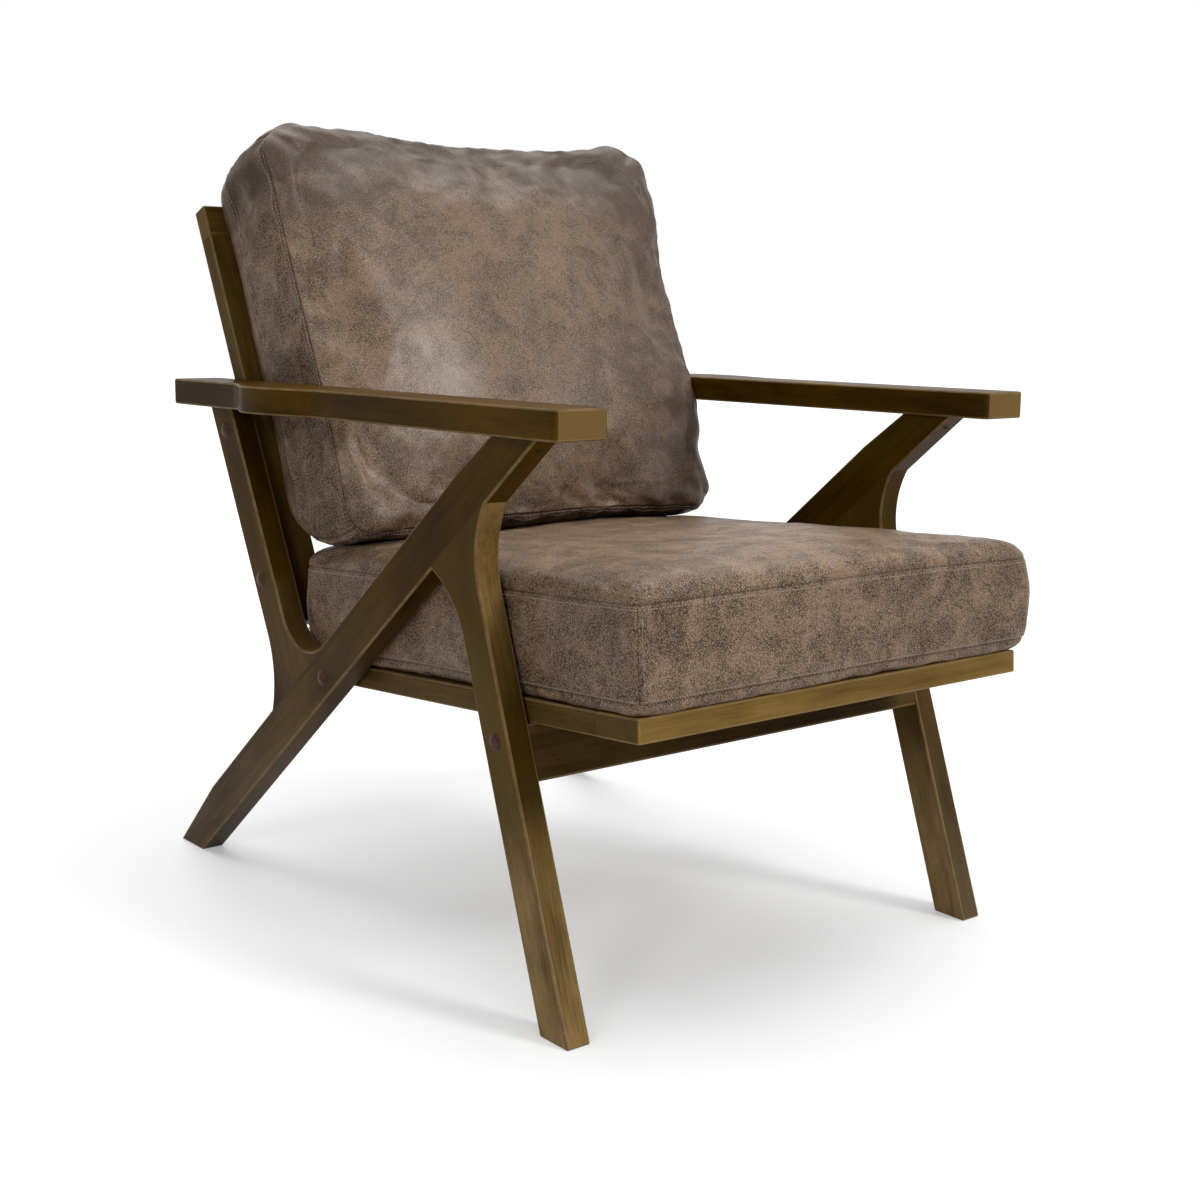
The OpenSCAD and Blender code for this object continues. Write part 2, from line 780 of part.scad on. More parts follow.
module seat_cushion_place() {
    seat_place()
        translate([0, seat_cushion_mid, cushion_play])
            children();
}

module seat_cushion_block(play) {
    foam_block(seat_cushion_w, seat_cushion_len, seat_cushion_h, seat_corner_r, play);
}

module seat_cushion_cover() {
    seams = [seat_low_seam, seat_high_seam];
    color(leather)
        seat_cushion_place()
            difference() {
                cushion_form(seat_cushion_w, seat_cushion_len, seat_corner_r, seams, seat_cushion_h,
                    seat_roll, seat_crown, seat_draw, seat_swell);
                seat_cushion_block(cushion_play);
            }
}

module seat_cushion_foam() {
    color(foam_tone)
        seat_cushion_place()
            seat_cushion_block(0);
}

// The back cushion leans on the front of the stiles, its crowned panel to the front
module back_cushion_place() {
    back_place()
        translate([0, -stile_d / 2 - cushion_play, back_cushion_low + back_cushion_len / 2])
            rotate([90, 0, 0])
                children();
}

module back_cushion_block(play) {
    foam_block(back_cushion_w, back_cushion_len, back_cushion_t, back_corner_r, play);
}

module back_cushion_cover() {
    seams = [back_low_seam, back_high_seam];
    color(leather)
        back_cushion_place()
            difference() {
                cushion_form(back_cushion_w, back_cushion_len, back_corner_r, seams, back_cushion_t,
                    back_roll, back_crown, back_draw, back_swell, settle_angle);
                back_cushion_block(cushion_play);
            }
}

module back_cushion_foam() {
    color(foam_tone)
        back_cushion_place()
            back_cushion_block(0);
}

mirrored(-1) strut();  // strut_left
strut();  // strut_right
mirrored(-1) front_leg();  // front_leg_left
front_leg();  // front_leg_right
mirrored(-1) rear_upright();  // rear_upright_left
rear_upright();  // rear_upright_right
mirrored(-1) armrest();  // armrest_left
armrest();  // armrest_right
front_stretcher();
seat_front_rail();
mirrored(-1) seat_side_rail();  // seat_side_rail_left
seat_side_rail();  // seat_side_rail_right
seat_rear_rail();
seat_slats();
mirrored(-1) back_stile();  // back_stile_left
back_stile();  // back_stile_right
back_top_rail();
back_bottom_rail();
back_slats();
bolt_caps();
side_bolts();
threaded_inserts();
frame_spacers();
side_frame_dowels();
seat_frame_dowels();
back_frame_dowels();
seat_cushion_cover();
seat_cushion_foam();
back_cushion_cover();
back_cushion_foam();
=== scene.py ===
import json
import math

import bmesh
import bpy
import numpy as np
from mathutils import Matrix, Vector, noise
from mathutils.bvhtree import BVHTree


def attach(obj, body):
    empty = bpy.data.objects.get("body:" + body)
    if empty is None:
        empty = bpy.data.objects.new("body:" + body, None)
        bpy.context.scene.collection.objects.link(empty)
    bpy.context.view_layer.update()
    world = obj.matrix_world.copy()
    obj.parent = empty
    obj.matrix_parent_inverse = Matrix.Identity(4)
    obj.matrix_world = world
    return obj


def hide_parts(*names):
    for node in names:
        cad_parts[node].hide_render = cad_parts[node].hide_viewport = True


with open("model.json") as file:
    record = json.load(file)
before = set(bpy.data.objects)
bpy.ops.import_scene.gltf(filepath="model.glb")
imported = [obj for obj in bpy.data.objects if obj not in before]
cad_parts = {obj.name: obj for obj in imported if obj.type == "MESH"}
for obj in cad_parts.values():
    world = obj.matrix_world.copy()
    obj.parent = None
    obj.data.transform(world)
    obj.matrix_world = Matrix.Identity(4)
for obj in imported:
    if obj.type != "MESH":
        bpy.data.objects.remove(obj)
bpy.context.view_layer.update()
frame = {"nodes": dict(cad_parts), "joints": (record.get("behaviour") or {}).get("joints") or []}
mm = 0.001
print("stage: frame loaded,", len(frame["nodes"]), "nodes")


# the camera stands at the chair's left front, a little above the seat
cameraSetup = {
    "place": (-1.3767, -1.6586, 0.7661), "yaw": -40.23, "pitch": -10.677, "roll": 1.656, "lens": 54.045,
}


def placeCamera(setup):
    yaw, pitch, roll = (math.radians(setup[k]) for k in ("yaw", "pitch", "roll"))
    forward = Vector((-math.sin(yaw) * math.cos(pitch), math.cos(yaw) * math.cos(pitch), math.sin(pitch)))
    level = Vector((math.cos(yaw), math.sin(yaw), 0))
    plumb = level.cross(forward)
    right = level * math.cos(roll) + plumb * math.sin(roll)
    top = plumb * math.cos(roll) - level * math.sin(roll)
    data = bpy.data.cameras.new("camera")
    data.lens = setup["lens"]
    camera = bpy.data.objects.new("camera", data)
    bpy.context.scene.collection.objects.link(camera)
    axes = Matrix((right, top, -forward)).transposed().to_4x4()
    camera.matrix_world = Matrix.Translation(setup["place"]) @ axes
    bpy.context.scene.camera = camera


placeCamera(cameraSetup)
print("stage: camera placed")


# shader helpers: each one adds a node and gives back its output socket
def addNode(tree, kind, inputs=None, **settings):
    node = tree.nodes.new(kind)
    for key, value in settings.items():
        setattr(node, key, value)
    for key, value in (inputs or {}).items():
        if isinstance(value, bpy.types.NodeSocket):
            tree.links.new(value, node.inputs[key])
        else:
            node.inputs[key].default_value = value
    return node


def calc(tree, operation, a, b=0.0):
    return addNode(tree, "ShaderNodeMath", {0: a, 1: b}, operation=operation).outputs[0]


def between(tree, value, low, high):
    return calc(tree, "MINIMUM", calc(tree, "MAXIMUM", value, low), high)


def blendColour(tree, factor, a, b):
    return addNode(tree, "ShaderNodeMix", {0: factor, 6: a, 7: b}, data_type="RGBA").outputs[2]


def ease(tree, value, low, high, toLow=0.0, toHigh=1.0):
    inputs = {"Value": value, "From Min": low, "From Max": high, "To Min": toLow, "To Max": toHigh}
    return addNode(tree, "ShaderNodeMapRange", inputs, interpolation_type="SMOOTHSTEP").outputs[0]


def cloud(tree, place, scale, detail=3.0, roughness=0.5, distortion=0.0):
    inputs = {"Vector": place, "Scale": scale, "Detail": detail, "Roughness": roughness}
    return addNode(tree, "ShaderNodeTexNoise", {**inputs, "Distortion": distortion}).outputs[0]


def mapped(tree, place, **inputs):
    return addNode(tree, "ShaderNodeMapping", {"Vector": place, **inputs}).outputs[0]


def vectorNode(tree, operation, a, b):
    return addNode(tree, "ShaderNodeVectorMath", {0: a, 1: b}, operation=operation).outputs


def objectPlace(tree):
    return addNode(tree, "ShaderNodeTexCoord").outputs["Object"]


def startGroup(name, inputs, outputs):
    tree = bpy.data.node_groups.new(name, "ShaderNodeTree")
    for label, kind, value in inputs:
        socket = tree.interface.new_socket(label, in_out="INPUT", socket_type=kind)
        if value is not None:
            socket.default_value = value
    for label, kind in outputs:
        tree.interface.new_socket(label, in_out="OUTPUT", socket_type=kind)
    return tree, tree.nodes.new("NodeGroupInput").outputs, tree.nodes.new("NodeGroupOutput").inputs


def placeGroup(tree, group, inputs):
    return addNode(tree, "ShaderNodeGroup", inputs, node_tree=group).outputs


def startMaterial(name, **shaderValues):
    material = bpy.data.materials.new(name)
    material.use_nodes = True
    tree = material.node_tree
    shader = tree.nodes["Principled BSDF"]
    for key, value in shaderValues.items():
        shader.inputs[key.replace("_", " ")].default_value = value
    return material, tree, shader


# joins a finish's colour, roughness and height to its shader
def finishWith(tree, shader, colour, roughness, height, distance, strength=1.0):
    bump = addNode(tree, "ShaderNodeBump", {"Height": height, "Distance": distance, "Strength": strength})
    tree.links.new(colour, shader.inputs["Base Color"])
    tree.links.new(roughness, shader.inputs["Roughness"])
    tree.links.new(bump.outputs[0], shader.inputs["Normal"])


# how far the arrises are lightened, partly stain rubbed off and partly a painted highlight, broken up by a
# fine cloud
def makeEdgeWearAndPaintedHighlightGroup():
    tree, given, out = startGroup(
        "edgeWearAndPaintedHighlight",
        [("Coordinates", "NodeSocketVector", None), ("Amount", "NodeSocketFloat", 0.6)],
        [("Mask", "NodeSocketFloat")],
    )
    patchy = ease(tree, cloud(tree, given["Coordinates"], 55.0, 4.0, 0.6), 0.34, 0.62, 0.55, 1.0)
    tree.links.new(calc(tree, "MULTIPLY", patchy, given["Amount"]), out["Mask"])
    return tree


# stained timber with its grain along the first coordinate
def makeGrainGroup():
    tree, given, out = startGroup(
        "stainedGrain",
        [
            ("Coordinates", "NodeSocketVector", None),
            ("Deep", "NodeSocketColor", (0.05, 0.03, 0.012, 1)),
            ("Warm", "NodeSocketColor", (0.2, 0.13, 0.05, 1)),
            ("Streaks", "NodeSocketFloat", 0.5),
        ],
        [("Colour", "NodeSocketColor"), ("Roughness", "NodeSocketFloat"), ("Height", "NodeSocketFloat")],
    )
    place = given["Coordinates"]
    figure = cloud(tree, mapped(tree, place, Scale=(0.09, 1, 1)), 62.0, 4.0, 0.55, 0.7)
    fibre = cloud(tree, mapped(tree, place, Scale=(0.035, 1, 1)), 430.0, 3.0, 0.6)
    pores = cloud(tree, mapped(tree, place, Scale=(0.05, 1, 1)), 1100.0, 1.0, 0.5)
    stain = cloud(tree, mapped(tree, place, Scale=(0.45, 1, 1)), 12.0, 3.0, 0.5, 0.3)
    streak = calc(tree, "MULTIPLY", ease(tree, figure, 0.3, 0.7, -0.5, 0.5), given["Streaks"])
    lines = calc(tree, "MULTIPLY", ease(tree, fibre, 0.3, 0.7, -0.5, 0.5), 0.22)
    tone = calc(tree, "ADD", ease(tree, stain, 0.32, 0.68, 0.25, 0.78), calc(tree, "ADD", streak, lines))
    colour = blendColour(tree, between(tree, tone, 0.0, 1.0), given["Deep"], given["Warm"])
    poreMask = ease(tree, pores, 0.62, 0.74, 0.0, 0.55)
    tree.links.new(blendColour(tree, poreMask, colour, given["Deep"]), out["Colour"])
    tree.links.new(ease(tree, fibre, 0.2, 0.8, 0.3, 0.42), out["Roughness"])
    tree.links.new(calc(tree, "SUBTRACT", calc(tree, "MULTIPLY", fibre, 0.5), poreMask), out["Height"])
    return tree


# distressed hide: pebbled cells parted by dark valleys, which thin out over small bare patches; it darkens
# with painted shade and in smoky clouds, holds the holes of a seam, and shines more where it is polished
def makeHideGroup():
    tree, given, out = startGroup(
        "distressedHide",
        [
            ("Coordinates", "NodeSocketVector", None),
            ("Pebble", "NodeSocketColor", (0.310, 0.213, 0.141, 1)),
            ("Valley", "NodeSocketColor", (0.034, 0.020, 0.011, 1)),
            ("Bare", "NodeSocketColor", (0.300, 0.204, 0.130, 1)),
            ("Rosy", "NodeSocketColor", (0.312, 0.201, 0.134, 1)),
            ("Contrast", "NodeSocketFloat", 1.0),
            ("Wear", "NodeSocketFloat", 0.0),
            ("Shade", "NodeSocketFloat", 0.0),
            ("Seam", "NodeSocketFloat", 0.0),
            ("Polish", "NodeSocketFloat", 0.0),
        ],
        [("Colour", "NodeSocketColor"), ("Roughness", "NodeSocketFloat"), ("Height", "NodeSocketFloat")],
    )
    place = given["Coordinates"]
    wide = cloud(tree, place, 5.0, 3.0, 0.55, 0.3)
    middle = cloud(tree, place, 27.0, 4.0, 0.6, 0.4)
    small = cloud(tree, place, 95.0, 3.0, 0.6)
    fine = cloud(tree, place, 560.0, 2.0, 0.65)
    swirl = addNode(tree, "ShaderNodeTexNoise", {"Vector": place, "Scale": 210.0, "Detail": 2.0}).outputs[1]
    shift = vectorNode(tree, "MULTIPLY", swirl, (0.004, 0.004, 0.004))[0]
    bent = vectorNode(tree, "ADD", place, shift)[0]
    cellInputs = {"Vector": bent, "Scale": 410.0}
    cells = addNode(tree, "ShaderNodeTexVoronoi", cellInputs, feature="DISTANCE_TO_EDGE").outputs[0]
    valleys = ease(tree, cells, 0.26, 0.04)
    patches = calc(tree, "ADD", calc(tree, "MULTIPLY", wide, 0.2), calc(tree, "MULTIPLY", middle, 0.5))
    patches = calc(tree, "ADD", patches, calc(tree, "MULTIPLY", small, 0.3))
    patches = calc(tree, "SUBTRACT", patches, calc(tree, "MULTIPLY", given["Wear"], 0.06))
    dense = ease(tree, patches, 0.36, 0.56)
    marks = calc(tree, "ADD", calc(tree, "MULTIPLY", valleys, 0.95), ease(tree, fine, 0.5, 0.74, 0.0, 0.4))
    marks = calc(tree, "MULTIPLY", marks, ease(tree, patches, 0.36, 0.6, 0.58, 1.0))
    marks = calc(tree, "MULTIPLY", calc(tree, "MINIMUM", marks, 1.0), given["Contrast"])
    rosyMask = ease(tree, cloud(tree, place, 14.0, 2.0, 0.5), 0.46, 0.62)
    bareTone = blendColour(tree, rosyMask, given["Bare"], given["Rosy"])
    ground = blendColour(tree, dense, bareTone, given["Pebble"])
    smoky = calc(tree, "ADD", calc(tree, "MULTIPLY", wide, 0.4), calc(tree, "MULTIPLY", middle, 0.6))
    # painted shade is added here to the darkening of the smoky clouds
    darker = calc(tree, "ADD", ease(tree, smoky, 0.4, 0.62, 0.0, 0.34), given["Shade"])
    ground = blendColour(tree, calc(tree, "MINIMUM", darker, 0.8), ground, given["Valley"])
    grained = blendColour(tree, marks, ground, given["Valley"])
    bands = addNode(tree, "ShaderNodeTexWave", {"Vector": place, "Scale": 136.0}, bands_direction="DIAGONAL")
    holes = ease(tree, bands.outputs[1], 0.3, 0.7, 0.25, 0.75)
    seamLine = calc(tree, "MULTIPLY", ease(tree, given["Seam"], 0.35, 0.95), holes)
    tree.links.new(blendColour(tree, seamLine, grained, (0.012, 0.008, 0.006, 1)), out["Colour"])
    matt = ease(tree, calc(tree, "ADD", middle, calc(tree, "MULTIPLY", marks, 0.2)), 0.3, 0.8, 0.36, 0.46)
    polished = calc(tree, "MULTIPLY", given["Polish"], 0.17)
    tree.links.new(calc(tree, "SUBTRACT", matt, polished), out["Roughness"])
    tree.links.new(calc(tree, "SUBTRACT", calc(tree, "MULTIPLY", small, 0.5), marks), out["Height"])
    return tree


edgeWearAndPaintedHighlightGroup = makeEdgeWearAndPaintedHighlightGroup()
grainGroup = makeGrainGroup()
hideGroup = makeHideGroup()

# each timber's colours: deep in the grain; between it warm above, at the waist of the chair and low down,
# mostly lighter towards the ground; amber is painted light on the left leg's front, a painted highlight above
# the waist, dark at the waist and lit low down; golden is the front rail's wood painted as lit; umber's end
# grain is painted lighter where the armrests' front ends catch the light
timberTones = {
    "umber": {"deep": (0.018, 0.008, 0.0005), "warm": (0.070, 0.035, 0.0015), "waist": (0.094, 0.056, 0.018),
              "low": (0.120, 0.083, 0.044), "end": (0.172, 0.107, 0.035), "streaks": 0.25},
    "walnut": {"deep": (0.034, 0.018, 0.003), "warm": (0.078, 0.042, 0.005), "waist": (0.105, 0.062, 0.016),
               "low": (0.320, 0.208, 0.092), "end": (0.150, 0.095, 0.030), "streaks": 0.1},
    "paintedLitAmber": {"warm": (0.270, 0.160, 0.050), "waist": (0.062, 0.034, 0.004), "low": (0.340, 0.215, 0.080)},
    "olive": {"deep": (0.026, 0.013, 0.001), "warm": (0.130, 0.075, 0.016), "waist": (0.125, 0.072, 0.016),
              "low": (0.120, 0.070, 0.016), "end": (0.110, 0.066, 0.018), "streaks": 0.25},
    "paintedLitGolden": {"deep": (0.090, 0.052, 0.011), "warm": (0.215, 0.130, 0.036),
               "end": (0.050, 0.029, 0.008), "streaks": 0.35},
    "plain": {"deep": (0.150, 0.085, 0.036), "warm": (0.340, 0.225, 0.110),
              "end": (0.150, 0.085, 0.036), "streaks": 0.8},
    "beech": {"deep": (0.340, 0.210, 0.100), "warm": (0.520, 0.360, 0.200),
              "end": (0.340, 0.210, 0.100), "streaks": 0.6},
}
heightToneLevels = {"waist": (0.42, 0.3), "low": (0.24, 0.1)}
# the arrises' light colour: partly worn stain, partly a painted highlight
wearAndPaintedHighlightTone = (0.36, 0.25, 0.12, 1)
boardShift = Vector((0.37, 0.21, 0.13))
timberMade = {}


# a tone's warm colour, which may change at the waist of the chair and again nearer the ground; on amber this
# is painted light
def heightToneAt(tree, height, colours):
    stain = (*colours["warm"], 1)
    for level, heights in heightToneLevels.items():
        if level in colours:
            stain = blendColour(tree, ease(tree, height, *heights), stain, (*colours[level], 1))
    return stain


# direction is the way of the grain, and shift sets each board's own figure; the next argument is how far
# the arrises are lightened, partly stain worn off and partly a painted highlight; the next gives two places
# along Y between which the colour deepens as painted shade; the last is the tone of faces not facing
# sideways, painted lit on the left leg's front and in shade on the right leg's front
def timber(tone, direction, shift=0, wearAndPaintedHighlight=0.0, paintedShadeSpan=None, paintedFrontTone=None):
    key = (tone, tuple(round(c, 3) for c in direction), shift, wearAndPaintedHighlight, paintedShadeSpan, paintedFrontTone)
    if key in timberMade:
        return timberMade[key]
    colours = timberTones[tone]
    name = "timber_%s_%d" % (tone, len(timberMade))
    material, tree, shader = startMaterial(name, Specular_IOR_Level=0.03)
    place = objectPlace(tree)
    apart = addNode(tree, "ShaderNodeSeparateXYZ", {0: place}).outputs
    turn = Vector(direction).rotation_difference(Vector((1, 0, 0))).to_euler()
    along = mapped(tree, place, Rotation=turn, Location=boardShift * shift)
    normal = addNode(tree, "ShaderNodeNewGeometry").outputs["Normal"]
    warm = heightToneAt(tree, apart["Z"], colours)
    # faces not facing sideways get painted light: lit, with a painted highlight, on the left leg; shaded on
    # the right
    if paintedFrontTone:
        sideways = calc(tree, "ABSOLUTE", addNode(tree, "ShaderNodeSeparateXYZ", {0: normal}).outputs["X"])
        edge = heightToneAt(tree, apart["Z"], timberTones[paintedFrontTone])
        warm = blendColour(tree, ease(tree, sideways, 0.5, 0.9), edge, warm)
    grain = placeGroup(tree, grainGroup, {
        "Coordinates": along, "Deep": (*colours["deep"], 1), "Warm": warm, "Streaks": colours["streaks"]})
    endOn = calc(tree, "ABSOLUTE", vectorNode(tree, "DOT_PRODUCT", normal, direction)["Value"])
    colour = blendColour(tree, ease(tree, endOn, 0.8, 0.95, 0.0, 0.82), grain["Colour"], (*colours["end"], 1))
    # painted shade: the colour deepens along Y between the two given places
    if paintedShadeSpan:
        colour = blendColour(tree, ease(tree, apart["Y"], *paintedShadeSpan, 0.0, 0.75), colour, (*colours["deep"], 1))
    # lightened arrises: partly worn stain, partly a painted highlight
    if wearAndPaintedHighlight:
        mask = placeGroup(tree, edgeWearAndPaintedHighlightGroup, {"Coordinates": along, "Amount": wearAndPaintedHighlight})["Mask"]
        colour = blendColour(tree, mask, colour, wearAndPaintedHighlightTone)
    finishWith(tree, shader, colour, grain["Roughness"], grain["Height"], 0.0002, 0.5)
    timberMade[key] = material
    return material


def makeLeather(name, shift, contrast, gloss):
    material, tree, shader = startMaterial(name, Specular_IOR_Level=gloss)
    wearAndPaintedShade = {label: addNode(tree, "ShaderNodeAttribute", attribute_name=label.lower()).outputs["Fac"]
            for label in ("Wear", "Shade", "Seam", "Polish")}
    place = mapped(tree, objectPlace(tree), Location=shift)
    hide = placeGroup(tree, hideGroup, {"Coordinates": place, "Contrast": contrast, **wearAndPaintedShade})
    finishWith(tree, shader, hide["Colour"], hide["Roughness"], hide["Height"], 0.00012, 0.4)
    return material


def makeThread():
    material, tree, shader = startMaterial("waxed_thread", Sheen_Weight=0.2)
    ply = cloud(tree, objectPlace(tree), 1500.0, 2.0)
    colour = blendColour(tree, ease(tree, ply, 0.35, 0.65), (0.15, 0.115, 0.085, 1), (0.27, 0.21, 0.155, 1))
    finishWith(tree, shader, colour, ease(tree, ply, 0.3, 0.7, 0.55, 0.75), ply, 0.0001)
    return material


def makeCapPlastic():
    material, tree, shader = startMaterial("cap_plastic", Specular_IOR_Level=0.1)
    mottle = cloud(tree, objectPlace(tree), 240.0)
    dull, bright = (0.040, 0.015, 0.008, 1), (0.075, 0.030, 0.017, 1)
    colour = blendColour(tree, ease(tree, mottle, 0.35, 0.65), dull, bright)
    finishWith(tree, shader, colour, ease(tree, mottle, 0.3, 0.7, 0.3, 0.42), mottle, 0.0001, 0.4)
    return material


def makeSteel():
    material, tree, shader = startMaterial("zinc_steel", Metallic=1.0)
    turned = cloud(tree, mapped(tree, objectPlace(tree), Scale=(1, 0.2, 0.2)), 900.0, 2.0)
    colour = blendColour(tree, turned, (0.42, 0.43, 0.45, 1), (0.62, 0.63, 0.64, 1))
    finishWith(tree, shader, colour, ease(tree, turned, 0.3, 0.7, 0.28, 0.45), turned, 0.00005, 0.5)
    return material


print("stage: finishes made")


# how close points lie when they are one point, on a plane or line, one point of a splice, or touching
closeness = {"weld": 0.02 * mm, "spare": 0.05 * mm, "flat": 0.1 * mm, "line": 0.2 * mm,
             "splice": 0.3 * mm, "touch": 0.5 * mm}


def edgesOf(ring):
    return zip(ring, ring[1:] + ring[:1])


# the flat side of a CAD node that faces furthest along an axis: its true normal, the depth behind it and
# its outline
def flatSide(nodeName, towards):
    towards = Vector(towards).normalized()
    solid = bmesh.new()
    solid.from_mesh(frame["nodes"][nodeName].data)
    bmesh.ops.remove_doubles(solid, verts=solid.verts, dist=closeness["weld"])
    areas = {}
    for face in solid.faces:
        if face.normal.dot(towards) > 0.8:
            key = tuple(round(c, 2) for c in face.normal)
            areas.setdefault(key, [0.0, Vector()])
            areas[key][0] += face.calc_area()
            areas[key][1] += face.normal * face.calc_area()
    normal = max(areas.values(), key=lambda pair: pair[0])[1].normalized()
    reach = max(v.co.dot(normal) for v in solid.verts)
    depth = reach - min(v.co.dot(normal) for v in solid.verts)
    level = reach - closeness["flat"]
    flat = [f for f in solid.faces if all(v.co.dot(normal) > level for v in f.verts)]
    following = {}
    for face in flat:
        for loop in face.loops:
            if sum(f in flat for f in loop.edge.link_faces) == 1:
                following[loop.vert.index] = loop.link_loop_next.vert.index
    solid.verts.ensure_lookup_table()
    outlines = []
    while following:
        ring = []
        here = next(iter(following))
        while here in following:
            ring.append(solid.verts[here].co.copy())
            here = following.pop(here)
        outlines.append(ring)
    solid.free()
    longest = max(outlines, key=lambda ring: sum((a - b).length for a, b in edgesOf(ring)))
    return normal, depth, withoutSpares(longest)


# drops outline points that lie on a straight run
def withoutSpares(ring):
    kept = []
    for i, point in enumerate(ring):
        before, after = point - ring[i - 1], ring[(i + 1) % len(ring)] - point
        if before.length > closeness["spare"] and before.angle(after, 0) > math.radians(0.4):
            kept.append(point)
    return kept


def longestRun(ring):
    return max((b - a for a, b in edgesOf(ring)), key=lambda run: run.length).normalized()


def onSegment(point, a, b):
    run = b - a
    share = (point - a).dot(run) / run.length_squared
    return 0.0001 < share < 0.9999 and (a + run * share - point).length < closeness["line"]


# a ring with the points of another ring that lie on its straight edges
def joinedInto(ring, other):
    made = []
    for a, b in edgesOf(ring):
        made.append(a)
        made += sorted((p for p in other if onSegment(p, a, b)), key=lambda p: (p - a).length)
    return made


boardWords = ("strut", "leg", "upright", "armrest", "stretcher", "rail", "stile")
boardSurfaces = {
    name: BVHTree.FromPolygons([v.co for v in node.data.vertices], [p.vertices for p in node.data.polygons])
    for name, node in frame["nodes"].items() if any(word in name for word in boardWords)}


# an edge that another board touches is eased far less than a free arris
def isJoint(point, ownNodes):
    others = (surface for name, surface in boardSurfaces.items() if name not in ownNodes)
    return any(surface.find_nearest(point, closeness["touch"])[0] is not None for surface in others)


# edges that turn more than sharpFrom degrees are rounded, and those below creaseFrom are smooth
boardFinish = {"sideFrameRound": 2.4 * mm, "boardRound": 2.2 * mm, "jointShare": 0.12, "segments": 4,
               "sharpFrom": 35, "creaseFrom": 11}


# a board or a spliced group of boards: each outline is cut through to depth in its own material, and the
# last material is the one on the rounded arrises
def buildBoard(name, nodes, rings, normal, depth, materials, roundness):
    board = bmesh.new()
    for index, ring in enumerate(rings):
        face = board.faces.new([board.verts.new(p) for p in ring])
        face.material_index = index
    bmesh.ops.remove_doubles(board, verts=board.verts, dist=closeness["splice"])
    outer = list(board.faces)
    rim = [(e, e.link_faces[0]) for e in board.edges if len(e.link_faces) == 1]
    inner = {v: board.verts.new(v.co - normal * depth) for v in list(board.verts)}
    for face in outer:
        back = board.faces.new([inner[v] for v in reversed(face.verts)])
        back.material_index = face.material_index
    for edge, face in rim:
        a, b = next((l.vert, l.link_loop_next.vert) for l in face.loops if l.edge == edge)
        side = board.faces.new([b, a, inner[a], inner[b]])
        side.material_index = face.material_index
    bmesh.ops.recalc_face_normals(board, faces=board.faces)
    weights = board.edges.layers.float.new("bevel_weight_edge")
    for edge in board.edges:
        turn = math.degrees(edge.calc_face_angle(0))
        edge.smooth = not boardFinish["creaseFrom"] < turn < boardFinish["sharpFrom"]
        if turn >= boardFinish["sharpFrom"]:
            middle = (edge.verts[0].co + edge.verts[1].co) / 2
            edge[weights] = boardFinish["jointShare"] if isJoint(middle, nodes) else 1.0
    for face in board.faces:
        face.smooth = True
    mesh = bpy.data.meshes.new(name)
    board.to_mesh(mesh)
    board.free()
    for material in materials:
        mesh.materials.append(material)
    piece = bpy.data.objects.new(name, mesh)
    bpy.context.scene.collection.objects.link(piece)
    eased = piece.modifiers.new("arrises", "BEVEL")
    eased.width = roundness
    eased.segments = boardFinish["segments"]
    eased.limit_method = "WEIGHT"
    eased.use_clamp_overlap = False
    eased.harden_normals = True
    eased.material = len(materials) - 1
    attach(piece, "frame")
    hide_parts(*nodes)


# strut, leg and upright of one side show only faint joint lines, so they are one spliced piece with a
# grain and a tone for each
def buildSideFrame(side, outward, paintedLegFront):
    nodes = ["strut_" + side, "front_leg_" + side, "rear_upright_" + side]
    normals, depths, (strut, leg, upright) = zip(*(flatSide(n, outward) for n in nodes))
    strutGrain = longestRun(strut)
    materials = [
        timber("umber", strutGrain, 5), timber("walnut", longestRun(leg), 6, paintedFrontTone=paintedLegFront),
        timber("umber", longestRun(upright), 7), timber("umber", strutGrain, 5, 0.38)]
    rings = [joinedInto(joinedInto(strut, leg), upright), leg, upright]
    roundness = boardFinish["sideFrameRound"]
    buildBoard("side_frame_" + side, nodes, rings, normals[0], depths[0], materials, roundness)


# the left leg's front faces are painted lit with a highlight, the right leg's front faces painted in shade
buildSideFrame("left", (-1, 0, 0), "paintedLitAmber")
buildSideFrame("right", (1, 0, 0), "umber")

slideAxes = {j["name"]: Vector(j["axis"]) for j in frame["joints"]}
seatBack = -slideAxes["seat_cushion_slide"].normalized()
seatUp = Vector((1, 0, 0)).cross(seatBack)
backUp = slideAxes["back_cushion_slide"].normalized()
backOut = Vector((1, 0, 0)).cross(backUp)

